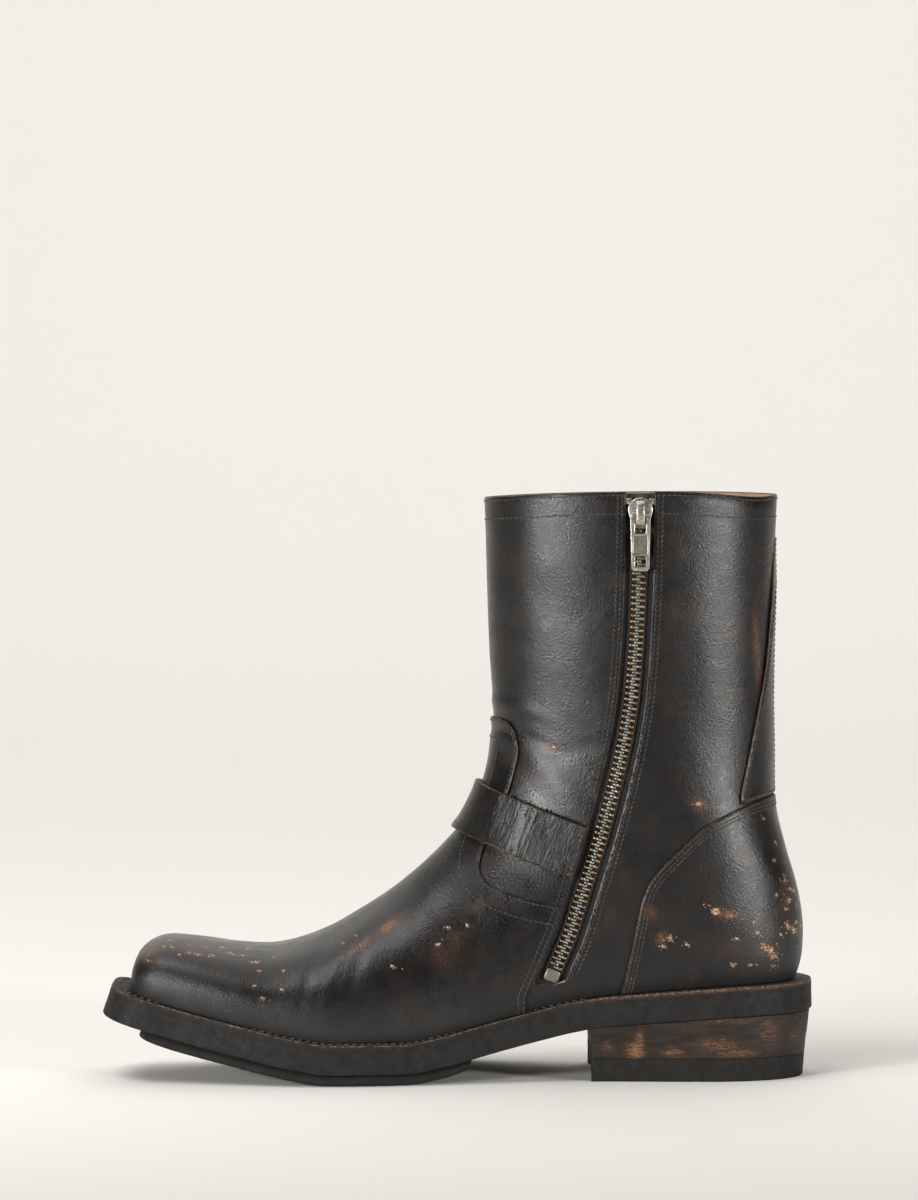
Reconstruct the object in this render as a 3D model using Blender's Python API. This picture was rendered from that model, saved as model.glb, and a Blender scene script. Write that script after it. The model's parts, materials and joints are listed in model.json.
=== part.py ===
"""Engineer boot for the right foot, with an instep strap and a zip on its inner side.

Sizes are in millimetres and become metres only where a mesh is made.
The toe points along -X, the inner (zip) side is -Y, and Z = 0 is the floor.
"""

import math
from collections import namedtuple

import bmesh
import bpy
from mathutils import Vector
from mathutils.bvhtree import BVHTree

MM = 0.001

# Driving sizes
SOLE_LENGTH = 304.2
BALL_WIDTH = 104.0
HEEL_LENGTH = 96.5
TOP_LIFT = 10.0
COLLAR_HEIGHT = 251.6
COLLAR_RISE = 1.4
COLLAR_CROWN = {-1: 2.6, 1: 1.0}
WALL = 2.2
OVERLAY = 1.0
GAP = 0.3
WELT = 3.2
MIDSOLE = 9.5
OUTSOLE = 4.7
INSOLE = 3.0
LASTING_DEPTH = 10.0

BACK_X = 153.7
TOE_X = BACK_X - SOLE_LENGTH
BREAST_X = BACK_X - HEEL_LENGTH - 0.2
BALL_HEIGHT = OUTSOLE + MIDSOLE + WELT + 2 * GAP

# How finely the last is cut
SECTION_STEPS = 34
SECTION_SIDES = 30

OUTSOLE_START = 16.5
OUTSOLE_INSET = 3.2

# Strap
STRAP_FRONT = (2.2, 118.4)
STRAP_SLOPE = math.radians(-21.0)
STRAP_HALF = 11.4
STRAP_THICK = 2.5
STRAP_OUT = GAP + OVERLAY + 0.5
STRAP_TIP = 104.0
STRAP_POINT = 12.0
BUCKLE_AT = 60.0
BUCKLE_HALF_LENGTH = 10.0
BUCKLE_HALF_WIDTH = 14.6
BUCKLE_CORNER = 4.0
BUCKLE_WIRE = 1.5
PRONG_WIRE = 1.0

# Zip
SLOT_HALF = 6.0
TAPE_HALF = 13.0
TAPE_THICK = 0.6
CHAIN_HALF = 2.95
CHAIN_SINK = 0.9
SLOT_FOOT = 42.7
STOP_LENGTH = 5.6
STOP_HALF = 3.4
SLIDER_Z = 245.6
SLIDER_PLATE = (-0.3, 1.1)
BAIL_HALF = 1.85
PIVOT_OUT = 2.9
PULL_HALF = 4.4
PULL_LENGTH = 24.6
PULL_THICK = 1.6
EYE_HALF = 2.5
EYE_LENGTH = 8.2

# A row for each section of the last, from the toe to above the collar. The top
# point runs along the toe, instep and shin, and the low point under the sole and
# up the back. Half the width is a share of the ball's. A low_z of None lies
# LASTING_DEPTH below the feather line. drift moves a section to the outer side,
# widest is the height share of its widest line, and crown and base tell how
# square its two ends are (2 is an ellipse).
Section = namedtuple("Section", "top_x top_z low_x low_z share drift widest crown base")
SECTIONS = (
    Section(-140.0, 48.5, -141.0, 33.0, 0.375, -6.0, 0.50, 2.8, 2.8),
    Section(-138.0, 53.2, -139.5, 29.5, 0.485, -6.0, 0.50, 2.8, 3.0),
    Section(-133.4, 57.3, -136.0, None, 0.570, -5.5, 0.48, 2.7, 3.2),
    Section(-126.0, 59.6, -129.0, None, 0.635, -5.0, 0.46, 2.6, 3.4),
    Section(-113.0, 58.6, -115.0, None, 0.720, -4.0, 0.45, 2.5, 3.5),
    Section(-97.0, 56.4, -98.0, None, 0.810, -2.5, 0.44, 2.4, 3.5),
    Section(-80.0, 55.7, -79.0, None, 0.875, -1.0, 0.42, 2.3, 3.5),
    Section(-62.6, 60.3, -59.0, None, 0.920, 0.0, 0.38, 2.2, 3.5),
    Section(-45.4, 69.0, -38.0, None, 0.920, 1.0, 0.35, 2.1, 3.5),
    Section(-28.2, 80.0, -16.0, None, 0.875, 1.8, 0.34, 2.0, 3.5),
    Section(-12.8, 93.0, 8.0, None, 0.815, 2.2, 0.35, 2.0, 3.4),
    Section(1.0, 107.2, 34.0, None, 0.770, 2.0, 0.37, 2.0, 3.2),
    Section(8.9, 121.0, 62.0, None, 0.745, 1.5, 0.40, 2.0, 3.1),
    Section(12.9, 134.0, 90.0, None, 0.735, 1.0, 0.43, 2.1, 3.0),
    Section(14.8, 145.5, 116.0, None, 0.730, 0.5, 0.46, 2.1, 2.9),
    Section(15.2, 156.0, 136.0, 33.0, 0.730, 0.0, 0.49, 2.2, 2.7),
    Section(14.6, 166.5, 145.8, 44.0, 0.730, 0.0, 0.50, 2.2, 2.5),
    Section(13.7, 177.5, 148.6, 62.0, 0.735, 0.0, 0.50, 2.2, 2.3),
    Section(13.0, 189.0, 146.6, 81.0, 0.745, 0.0, 0.50, 2.2, 2.2),
    Section(12.4, 201.0, 141.2, 100.0, 0.755, 0.0, 0.50, 2.2, 2.2),
    Section(12.0, 213.0, 136.6, 120.0, 0.770, 0.0, 0.50, 2.2, 2.2),
    Section(11.8, 225.0, 136.0, 145.0, 0.785, 0.0, 0.50, 2.2, 2.2),
    Section(11.5, 238.0, 135.8, 180.0, 0.810, 0.0, 0.50, 2.2, 2.2),
    Section(11.0, 252.0, 137.2, 222.0, 0.830, 0.0, 0.50, 2.2, 2.2),
    Section(10.2, 268.0, 139.2, 268.0, 0.850, 0.0, 0.50, 2.2, 2.2),
)

# Height of the feather line, where the upper meets the welt, above the ball's
FEATHER = (
    (-156.0, 25.0),
    (-147.0, 21.9),
    (-134.0, 17.9),
    (-112.0, 12.0),
    (-92.0, 7.2),
    (-72.0, 2.6),
    (-55.0, 0.0),
    (-25.0, 0.0),
    (-9.0, 2.4),
    (9.0, 7.0),
    (31.0, 12.6),
    (48.0, 16.6),
    (60.0, 18.6),
    (75.0, 20.0),
    (100.0, 21.9),
    (125.0, 23.5),
    (156.0, 24.3),
)

# Edge of the sole seen from above: x, inner and outer y. The ends are rounded off
# by a formula within TOE_ZONE and HEEL_ZONE of the tips.
SOLE_EDGE = (
    (-152.0, -40.0, 28.0),
    (-128.0, -41.0, 32.0),
    (-112.0, -44.0, 37.0),
    (-92.0, -48.0, 43.0),
    (-72.0, -51.0, 48.0),
    (-52.0, -52.0, 51.5),
    (-32.0, -50.0, 52.5),
    (-12.0, -45.0, 51.0),
    (8.0, -40.0, 48.0),
    (28.0, -36.5, 44.0),
    (48.0, -35.0, 40.0),
    (64.0, -35.0, 37.5),
    (84.0, -35.5, 36.5),
    (112.0, -36.0, 36.0),
    (154.0, -36.0, 36.0),
)
TOE_ZONE = 24.0
TOE_SQUARE = 3.4
HEEL_ZONE = 42.0
HEEL_SQUARE = 2.1

# Middle of the zip seen from the side: z, x
ZIP_LINE = (
    (36.0, 35.6),
    (45.8, 39.9),
    (52.5, 42.7),
    (66.0, 48.2),
    (85.0, 54.1),
    (101.0, 59.1),
    (117.0, 63.7),
    (148.0, 71.0),
    (170.0, 74.3),
    (201.0, 76.4),
    (226.0, 77.2),
    (262.0, 77.7),
)

# Rear edge of the vamp and its tongue seen from the side: x, z, from the top down
# to where it runs into the zip's front edge
VAMP_EDGE = (
    (17.5, 155.9),
    (21.1, 154.2),
    (23.7, 150.5),
    (25.0, 145.7),
    (25.0, 139.7),
    (23.5, 133.0),
    (21.0, 124.5),
    (16.2, 113.0),
    (11.2, 102.4),
    (9.0, 96.4),
    (8.8, 91.3),
    (10.8, 87.1),
    (15.0, 84.0),
    (21.1, 81.8),
    (29.4, 79.2),
    (38.4, 77.4),
)

# Front edge of the heel counter seen from the side: x, z, from the back seam down
COUNTER_EDGE = (
    (132.2, 121.3),
    (119.6, 117.4),
    (105.9, 110.5),
    (95.6, 101.5),
    (85.4, 91.2),
    (80.8, 84.3),
    (78.0, 76.0),
    (76.0, 66.0),
    (72.7, 50.2),
    (70.0, 38.0),
)

# Front edge of the narrow back stay seen from the side: x, z, from its tip down
STAY_EDGE = (
    (138.6, 236.0),
    (135.4, 200.0),
    (132.9, 176.4),
    (127.6, 149.9),
    (121.7, 124.0),
)

# Inside and outside of the slider's bail seen from the side: up from the pivot,
# out from the leather
BAIL_OUTSIDE = (
    (5.6, 0.6),
    (5.6, 2.4),
    (4.2, 4.4),
    (1.8, 5.2),
    (-2.0, 5.2),
    (-4.5, 4.4),
    (-5.9, 2.4),
    (-5.9, 0.6),
)
BAIL_INSIDE = (
    (-4.7, 0.6),
    (-4.7, 2.2),
    (-3.6, 3.5),
    (-1.6, 4.1),
    (1.4, 4.1),
    (3.3, 3.5),
    (4.4, 2.2),
    (4.4, 0.6),
)
SLIDER_OUTLINE = (
    (-3.6, -6.4),
    (3.6, -6.4),
    (5.5, -1.5),
    (5.5, 3.6),
    (3.9, 5.8),
    (0.0, 6.6),
    (-3.9, 5.8),
    (-5.5, 3.6),
    (-5.5, -1.5),
)


# Curves through the tables


def steady(rows, at, column=1):
    """Value of a table column at `at`, smooth and without overshoot between rows."""
    keys = [row[0] for row in rows]
    if at <= keys[0]:
        return rows[0][column]
    if at >= keys[-1]:
        return rows[-1][column]
    i = max(k for k in range(len(keys) - 1) if keys[k] <= at)

    def rise(k):
        return (rows[k + 1][column] - rows[k][column]) / (keys[k + 1] - keys[k])

    def slope(k):
        if k == 0 or k == len(keys) - 1:
            return rise(min(k, len(keys) - 2))
        before, after = rise(k - 1), rise(k)
        if before * after <= 0:
            return 0.0
        return 2 * before * after / (before + after)

    span = keys[i + 1] - keys[i]
    t = (at - keys[i]) / span
    low, high = rows[i][column], rows[i + 1][column]
    return (
        low * (1 + 2 * t) * (1 - t) ** 2
        + slope(i) * span * t * (1 - t) ** 2
        + high * t * t * (3 - 2 * t)
        + slope(i + 1) * span * t * t * (t - 1)
    )


def feather(x):
    return BALL_HEIGHT + steady(FEATHER, x)


def feather_slope(x):
    reach = 1.0
    return (feather(x + reach) - feather(x - reach)) / (2 * reach)


def below_feather(x, depth):
    """Point (x, z) that lies `depth` under the feather line, square to it."""
    slope = feather_slope(x)
    length = math.hypot(1.0, slope)
    return x + depth * slope / length, feather(x) - depth / length


def zip_x(z):
    return steady(ZIP_LINE, z)


def sole_edges(x, inset=0.0):
    """Inner and outer y of the sole's edge at x, `inset` inside the welt's edge."""
    inner = steady(SOLE_EDGE, x, 1)
    outer = steady(SOLE_EDGE, x, 2)
    middle, half = (inner + outer) / 2, (outer - inner) / 2
    into_toe = (TOE_X + inset + TOE_ZONE - x) / TOE_ZONE
    into_heel = (x - BACK_X + inset + HEEL_ZONE) / HEEL_ZONE
    fade = 1.0
    if into_toe > 0:
        fade = (1 - min(into_toe, 1) ** TOE_SQUARE) ** (1 / TOE_SQUARE)
    if into_heel > 0:
        fade = (1 - min(into_heel, 1) ** HEEL_SQUARE) ** (1 / HEEL_SQUARE)
    half = (half - inset) * fade
    return middle - half, middle + half


def spread_stations(start, end, count, start_round=True, end_round=True):
    """Stations from start to end, closer together at a rounded end."""
    stations = []
    for k in range(count + 1):
        t = k / count
        if start_round and end_round:
            t = (1 - math.cos(math.pi * t)) / 2
        elif start_round:
            t = 1 - math.cos(math.pi * t / 2)
        elif end_round:
            t = math.sin(math.pi * t / 2)
        stations.append(start + (end - start) * t)
    return stations


# The last


def section_at(place):
    """Section of the last at a place counted in rows of SECTIONS."""
    i = min(int(place), len(SECTIONS) - 2)
    t = place - i
    rows = [SECTIONS[max(0, min(len(SECTIONS) - 1, i + k))] for k in (-1, 0, 1, 2)]
    values = []
    for column in Section._fields:
        a, b, c, d = (
            feather(row.low_x) - LASTING_DEPTH if value is None else value
            for row in rows
            for value in (getattr(row, column),)
        )
        values.append(
            b
            + 0.5 * t * (c - a)
            + t * t * (a - 2.5 * b + 2 * c - 0.5 * d)
            + t * t * t * (1.5 * (b - c) + 0.5 * (d - a))
        )
    return Section(*values)


def section_ring(section):
    top = Vector((section.top_x, 0, section.top_z))
    low = Vector((section.low_x, 0, section.low_z))
    half = section.share * BALL_WIDTH / 2
    ring = []
    for k in range(SECTION_SIDES):
        turn = 2 * math.pi * k / SECTION_SIDES
        up, across = math.cos(turn), math.sin(turn)
        power = 2 / (section.crown if up > 0 else section.base)
        reach = 1 - section.widest if up > 0 else section.widest
        height = section.widest + math.copysign(reach * abs(up) ** power, up)
        side = math.copysign(half * abs(across) ** power, across)
        point = low.lerp(top, height)
        point.y = section.drift + side
        ring.append(point)
    return ring


def last_mesh(outset):
    """Closed mesh of the last, grown by `outset` along its own normals."""
    bm = bmesh.new()
    rows = len(SECTIONS) - 1
    rings = []
    for k in range(SECTION_STEPS + 1):
        ring = section_ring(section_at(rows * k / SECTION_STEPS))
        rings.append([bm.verts.new(point * MM) for point in ring])
    for ring, following in zip(rings, rings[1:]):
        for k in range(SECTION_SIDES):
            after = (k + 1) % SECTION_SIDES
            bm.faces.new((ring[k], ring[after], following[after], following[k]))
    for ring in (rings[0], rings[-1]):
        cap = bm.faces.new(ring)
        bmesh.ops.poke(bm, faces=[cap])
    bmesh.ops.recalc_face_normals(bm, faces=bm.faces)
    bm.normal_update()
    moves = [(vert, vert.normal * outset * MM) for vert in bm.verts]
    for vert, move in moves:
        vert.co += move
    return bm


def side_tree():
    bm = last_mesh(0.0)
    tree = BVHTree.FromBMesh(bm)
    bm.free()
    return tree


def on_side(tree, side, x, z, out):
    """Point `out` outside the leather, on the inner (-1) or outer (1) side."""
    start = Vector((x, side * 200.0, z)) * MM
    hit, normal, _, _ = tree.ray_cast(start, Vector((0, -side, 0)))
    return hit + normal * out * MM


# Objects


def material(name, colour, roughness, metallic=0.0):
    made = bpy.data.materials.new(name)
    made.use_nodes = True
    shader = made.node_tree.nodes["Principled BSDF"]
    shader.inputs["Base Color"].default_value = (*colour, 1.0)
    shader.inputs["Roughness"].default_value = roughness
    shader.inputs["Metallic"].default_value = metallic
    return made


def add_object(name, bm, collection, finish=None):
    mesh = bpy.data.meshes.new(name)
    bmesh.ops.recalc_face_normals(bm, faces=bm.faces)
    bm.to_mesh(mesh)
    bm.free()
    made = bpy.data.objects.new(name, mesh)
    collection.objects.link(made)
    if finish:
        mesh.materials.append(finish)
        mesh.shade_smooth()
        mesh.set_sharp_from_angle(angle=math.radians(35))
    else:
        made.hide_render = True
        made.display_type = "WIRE"
    return made


def boolean(target, operation, cutter):
    step = target.modifiers.new(f"{operation.title()} {cutter.name}", "BOOLEAN")
    step.operation = operation
    step.solver = "EXACT"
    step.object = cutter
    return target


def extruded(outline, place):
    """Closed solid between two copies of an outline, which `place` puts in space."""
    bm = bmesh.new()
    rings = [[bm.verts.new(place(a, b, end)) for a, b in outline] for end in (0, 1)]
    for ring in rings:
        bm.faces.new(ring)
    count = len(outline)
    for k in range(count):
        after = (k + 1) % count
        bm.faces.new((rings[0][k], rings[0][after], rings[1][after], rings[1][k]))
    return bm


def side_prism(outline, y_from=-90.0, y_to=90.0):
    """Solid with a side-view outline (x, z), running across the boot."""
    return extruded(outline, lambda x, z, end: Vector((x, y_to if end else y_from, z)) * MM)


def lofted(rings):
    bm = bmesh.new()
    made = [[bm.verts.new(Vector(point) * MM) for point in ring] for ring in rings]
    count = len(rings[0])
    for ring, following in zip(made, made[1:]):
        for k in range(count):
            after = (k + 1) % count
            bm.faces.new((ring[k], ring[after], following[after], following[k]))
    bm.faces.new(made[0])
    bm.faces.new(made[-1])
    return bm


class Boot:
    """The scene's two collections and the forms that several pieces share."""

    def __init__(self):
        self.parts = bpy.data.collections.new("Engineer boot")
        self.cutters = bpy.data.collections.new("Cutters")
        for collection in (self.parts, self.cutters):
            bpy.context.scene.collection.children.link(collection)
        self.tree = side_tree()
        self.forms = {}

    def part(self, name, bm, finish):
        return add_object(name, bm, self.parts, finish)

    def cutter(self, name, bm):
        return add_object(name, bm, self.cutters)

    def form(self, outset):
        """Cutter with the last's shape, grown by outset."""
        key = round(outset, 3)
        if key not in self.forms:
            self.forms[key] = self.cutter(f"Last {key:+.1f}", last_mesh(outset))
        return self.forms[key]

    def layer(self, name, inner, outer, finish):
        """Skin of the last between two outsets, closed at the ends."""
        made = self.part(name, last_mesh(outer), finish)
        return boolean(made, "DIFFERENCE", self.form(inner))


# Cutters


def under_feather(depth_above):
    """Everything under a line that lies `depth_above` over the feather line."""
    stations = spread_stations(-175.0, 175.0, 48, False, False)
    line = [(x, feather(x) + depth_above) for x in stations]
    return side_prism([(175.0, -30.0), (-175.0, -30.0)] + line)


def above_collar():
    """Block above the collar, whose lower face is crowned at both sides."""
    reach, height, steps = 70.0, 60.0, 14
    rings = []
    for x in (-40.0, 180.0):
        level = COLLAR_HEIGHT + COLLAR_RISE * (x - 10.0) / 128.0
        ring = [(x, reach, level + height), (x, -reach, level + height)]
        for k in range(steps + 1):
            y = -reach + 2 * reach * k / steps
            crown = COLLAR_CROWN[-1 if y < 0 else 1]
            ring.append((x, y, level + crown * min(abs(y) / 44.0, 1.0) ** 2))
        rings.append(ring)
    return lofted(rings)


def zip_strip(half, z_from, z_to, y_to=0.0):
    """Strip along the zip's line, through the inner side."""
    count = 26
    heights = [z_from + (z_to - z_from) * k / count for k in range(count + 1)]
    sides = {-1: [], 1: []}
    for z in heights:
        slope = (zip_x(z + 1) - zip_x(z - 1)) / 2
        length = math.hypot(1.0, slope)
        for side, line in sides.items():
            line.append((zip_x(z) + side * half / length, z - side * half * slope / length))
    return side_prism(sides[1] + sides[-1][::-1], -90.0, y_to)


def ahead_of_zip(clear, z_from, z_to, steps=8):
    """Points (x, z) `clear` ahead of the zip's middle, from z_from to z_to."""
    return [
        (zip_x(z) - clear, z)
        for z in (z_from + (z_to - z_from) * k / steps for k in range(steps + 1))
    ]


def strap_point(along, across):
    """Point (x, z) on the strap's side view, from its place over the instep."""
    x = STRAP_FRONT[0] + along * math.cos(STRAP_SLOPE) - across * math.sin(STRAP_SLOPE)
    z = STRAP_FRONT[1] + along * math.sin(STRAP_SLOPE) + across * math.cos(STRAP_SLOPE)
    return x, z


# Upper


def make_upper(boot, finish):
    upper = boot.layer("upper", -WALL, 0.0, finish)
    boolean(upper, "DIFFERENCE", boot.feather_cut)
    boolean(upper, "DIFFERENCE", boot.collar_cut)
    slot = boot.cutter("Zip slot", zip_strip(SLOT_HALF, SLOT_FOOT, 262.0))
    boolean(upper, "DIFFERENCE", slot)


def make_vamp(boot, finish):
    vamp = boot.layer("vamp", GAP, GAP + OVERLAY, finish)
    zip_edge = ahead_of_zip(SLOT_HALF + 0.6, 75.0, 40.0)
    outline = [(-190.0, 155.4), *VAMP_EDGE, *zip_edge, (36.0, -20.0), (-190.0, -20.0)]
    boolean(vamp, "INTERSECT", boot.cutter("Vamp outline", side_prism(outline)))
    boolean(vamp, "DIFFERENCE", boot.feather_cut)


def make_counter(boot, finish):
    counter = boot.layer("heel_counter", GAP, GAP + OVERLAY, finish)
    outline = [(190.0, 122.0), *COUNTER_EDGE, (69.0, -20.0), (190.0, -20.0)]
    boolean(counter, "INTERSECT", boot.cutter("Counter outline", side_prism(outline)))
    boolean(counter, "DIFFERENCE", boot.feather_cut)


def make_back_stay(boot, finish):
    stay = boot.layer("back_stay", GAP, GAP + OVERLAY, finish)
    foot = [(121.8, 119.4), (132.4, 122.6), (170.0, 123.2)]
    outline = [*STAY_EDGE, *foot, (170.0, 236.0)]
    boolean(stay, "INTERSECT", boot.cutter("Back stay outline", side_prism(outline)))


def make_insole(boot, finish):
    insole = boot.part("insole", last_mesh(-WALL - GAP), finish)
    stations = spread_stations(-175.0, 175.0, 48, False, False)
    low = [(x, feather(x) + GAP) for x in stations]
    high = [(x, feather(x) + GAP + INSOLE) for x in reversed(stations)]
    boolean(insole, "INTERSECT", boot.cutter("Insole level", side_prism(low + high)))


# Sole


def bent_plate(x_from, x_to, top_depth, low_depth, inset, chamfer, count, square_end=False):
    """Plate that follows the feather line between two depths, with the sole's edge."""
    rings = []
    edge_from = max(x_from, TOE_X + inset + 0.12)
    edge_to = min(x_to, BACK_X - inset - 0.12)
    for x in spread_stations(edge_from, edge_to, count, True, not square_end):
        inner, outer = sole_edges(x, inset)
        shy = min(chamfer, (outer - inner) / 4)
        top_x, top_z = below_feather(x, top_depth)
        bevel_x, bevel_z = below_feather(x, top_depth + shy)
        low_x, low_z = below_feather(x, low_depth)
        rings.append(
            [
                (low_x, inner, low_z),
                (low_x, outer, low_z),
                (bevel_x, outer, bevel_z),
                (top_x, outer - shy, top_z),
                (top_x, inner + shy, top_z),
                (bevel_x, inner, bevel_z),
            ]
        )
    return lofted(rings)


def make_welt(boot, finish):
    boot.part("welt", bent_plate(TOE_X, BACK_X, 0.0, WELT, 0.0, 0.8, 44), finish)


def make_midsole(boot, finish):
    top = WELT + GAP
    plate = bent_plate(TOE_X, BACK_X, top, top + MIDSOLE, 0.4, 0.4, 44)
    boot.part("midsole", plate, finish)


def make_outsole(boot, finish):
    top = WELT + MIDSOLE + 2 * GAP
    low = top + OUTSOLE
    plate = bent_plate(TOE_X + OUTSOLE_START, 2.0, top, low, OUTSOLE_INSET, 0.3, 30, True)
    outsole = boot.part("outsole", plate, finish)
    low_x, low_z = below_feather(2.0, top + OUTSOLE)
    wedge = [(low_x - 7.0, low_z - 1.4), (low_x + 3.0, low_z + 6.0), (60.0, -20.0)]
    wedge.append((low_x - 7.0, -20.0))
    boolean(outsole, "DIFFERENCE", boot.cutter("Outsole rear", side_prism(wedge)))


def heel_ring(z, inset):
    """Outline of the heel seen from above, with a breast that curves inwards."""
    breast_bow, breast_steps, side_steps = 3.0, 6, 14
    stations = spread_stations(BREAST_X, BACK_X - inset - 0.25, side_steps, False, True)
    inner = [(x, sole_edges(x, inset)[0], z) for x in stations]
    outer = [(x, sole_edges(x, inset)[1], z) for x in reversed(stations)]
    breast = []
    for k in range(1, breast_steps):
        t = k / breast_steps
        y = outer[-1][1] + (inner[0][1] - outer[-1][1]) * t
        breast.append((BREAST_X + 4 * breast_bow * t * (1 - t), y, z))
    return inner + outer + breast


def make_heel(boot, block_finish, lift_finish):
    block_inset, lift_inset, foot_inset = 0.6, 2.9, 3.6
    block = lofted([heel_ring(TOP_LIFT + GAP, lift_inset), heel_ring(40.0, block_inset - 1.0)])
    heel = boot.part("heel_block", block, block_finish)
    depth = WELT + MIDSOLE + 2 * GAP
    line = [below_feather(x, depth) for x in spread_stations(20.0, 175.0, 30, False, False)]
    above = side_prism([*line, (185.0, 90.0), (20.0, 90.0)])
    boolean(heel, "DIFFERENCE", boot.cutter("Heel seat", above))
    lift = lofted([heel_ring(0.0, foot_inset), heel_ring(TOP_LIFT, lift_inset)])
    boot.part("top_lift", lift, lift_finish)


# Strap and buckle


def make_strap(boot, finish):
    strap = boot.layer("strap", STRAP_OUT, STRAP_OUT + STRAP_THICK, finish)
    outline = [
        strap_point(-60.0, STRAP_HALF),
        strap_point(STRAP_TIP - STRAP_POINT, STRAP_HALF),
        strap_point(STRAP_TIP, 3.0),
        strap_point(STRAP_TIP, -3.0),
        strap_point(STRAP_TIP - STRAP_POINT, -STRAP_HALF),
        strap_point(-60.0, -STRAP_HALF),
    ]
    boolean(strap, "INTERSECT", boot.cutter("Strap outline", side_prism(outline)))
    zip_edge = ahead_of_zip(SLOT_HALF + 0.8, 130.0, 70.0)
    behind = side_prism([*zip_edge, (170.0, 70.0), (170.0, 130.0)], -90.0, 0.0)
    boolean(strap, "DIFFERENCE", boot.cutter("Strap inner end", behind))


def add_wire(boot, name, points, radius, closed, finish):
    curve = bpy.data.curves.new(name, "CURVE")
    curve.dimensions = "3D"
    curve.bevel_depth = radius * MM
    curve.bevel_resolution = 2
    curve.use_fill_caps = not closed
    spline = curve.splines.new("POLY")
    spline.points.add(len(points) - 1)
    for slot, point in zip(spline.points, points):
        slot.co = (*point, 1.0)
    spline.use_cyclic_u = closed
    curve.materials.append(finish)
    made = bpy.data.objects.new(name, curve)
    boot.parts.objects.link(made)
    return made


def make_buckle(boot, finish):
    strap_top = STRAP_OUT + STRAP_THICK
    out = strap_top + GAP + BUCKLE_WIRE
    points = []
    corners = ((1, 1), (-1, 1), (-1, -1), (1, -1))
    for number, (lengthways, sideways) in enumerate(corners):
        middle = (
            lengthways * (BUCKLE_HALF_LENGTH - BUCKLE_CORNER),
            sideways * (BUCKLE_HALF_WIDTH - BUCKLE_CORNER),
        )
        for k in range(5):
            turn = math.radians(90 * number + 22.5 * k)
            along = middle[0] + BUCKLE_CORNER * math.cos(turn)
            across = middle[1] + BUCKLE_CORNER * math.sin(turn)
            x, z = strap_point(BUCKLE_AT + along, across)
            points.append(on_side(boot.tree, 1, x, z, out))
    add_wire(boot, "buckle_frame", points, BUCKLE_WIRE, True, finish)
    over = out + BUCKLE_WIRE + GAP + PRONG_WIRE
    rest = strap_top + GAP + PRONG_WIRE
    prong = []
    for along, height in ((4.0, rest), (-2.0, rest + 0.8), (-7.5, over), (-12.5, over)):
        x, z = strap_point(BUCKLE_AT + along, 0.0)
        prong.append(on_side(boot.tree, 1, x, z, height))
    add_wire(boot, "buckle_prong", prong, PRONG_WIRE, False, finish)


# Zip


def make_tape(boot, finish):
    outer = -WALL - GAP
    tape = boot.layer("zip_tape", outer - TAPE_THICK, outer, finish)
    strip = zip_strip(TAPE_HALF, SLOT_FOOT - 1.0, 262.0)
    boolean(tape, "INTERSECT", boot.cutter("Tape strip", strip))
    boolean(tape, "DIFFERENCE", boot.collar_cut)
    over_insole = boot.cutter("Under the tape", under_feather(INSOLE + 2 * GAP))
    boolean(tape, "DIFFERENCE", over_insole)


def make_chain(boot, tooth_finish):
    stop_top = SLOT_FOOT + 0.8 + STOP_LENGTH
    chain = boot.layer("zip_chain", -WALL, -CHAIN_SINK, tooth_finish)
    strip = zip_strip(CHAIN_HALF, stop_top + GAP, 262.0)
    boolean(chain, "INTERSECT", boot.cutter("Chain strip", strip))
    boolean(chain, "DIFFERENCE", boot.collar_cut)
    stop = boot.layer("zip_bottom_stop", -WALL, -CHAIN_SINK + 0.4, tooth_finish)
    stop_strip = zip_strip(STOP_HALF, SLOT_FOOT + 0.8, stop_top)
    boolean(stop, "INTERSECT", boot.cutter("Stop strip", stop_strip))


def make_slider(boot, finish):
    middle = on_side(boot.tree, -1, zip_x(SLIDER_Z), SLIDER_Z, 0.0) / MM
    back, front = SLIDER_PLATE

    def plate_place(x, z, end):
        return (middle + Vector((x, -(front if end else back), z))) * MM

    def bail_place(z, out, end):
        return (middle + Vector((BAIL_HALF if end else -BAIL_HALF, -out, z))) * MM

    slider = boot.part("zip_slider", extruded(SLIDER_OUTLINE, plate_place), finish)
    bail = boot.cutter("Slider bail", extruded(BAIL_OUTSIDE + BAIL_INSIDE, bail_place))
    boolean(slider, "UNION", bail)
    return middle


def make_pull(boot, middle, finish):
    """Pull tab, with its origin on the pivot inside the bail."""
    half = PULL_THICK / 2

    def place(x, z, end):
        return Vector((x, half if end else -half, z)) * MM

    def through(x, z, end):
        return Vector((x, 3 * half if end else -3 * half, z)) * MM

    foot = -PULL_LENGTH
    outline = [
        (-PULL_HALF + 0.6, half),
        (PULL_HALF - 0.6, half),
        (PULL_HALF, half - 0.6),
        (PULL_HALF, foot + 1.6),
        (PULL_HALF - 1.6, foot),
        (-PULL_HALF + 1.6, foot),
        (-PULL_HALF, foot + 1.6),
        (-PULL_HALF, half - 0.6),
    ]
    pull = boot.part("zip_pull", extruded(outline, place), finish)
    eye_low = -half - EYE_LENGTH
    eye = [(-EYE_HALF, -half), (EYE_HALF, -half), (EYE_HALF, eye_low + 1.2)]
    eye += [(EYE_HALF - 1.2, eye_low), (1.2 - EYE_HALF, eye_low), (-EYE_HALF, eye_low + 1.2)]
    window = [(-2.3, foot + 1.9), (2.3, foot + 1.9), (2.3, foot + 6.8), (-2.3, foot + 6.8)]
    for name, hole in (("Pull eye", eye), ("Pull window", window)):
        cutter = boot.cutter(name, extruded(hole, through))
        cutter.parent = pull
        boolean(pull, "DIFFERENCE", cutter)
    pull.location = (middle + Vector((0, -PIVOT_OUT, 0))) * MM


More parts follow.
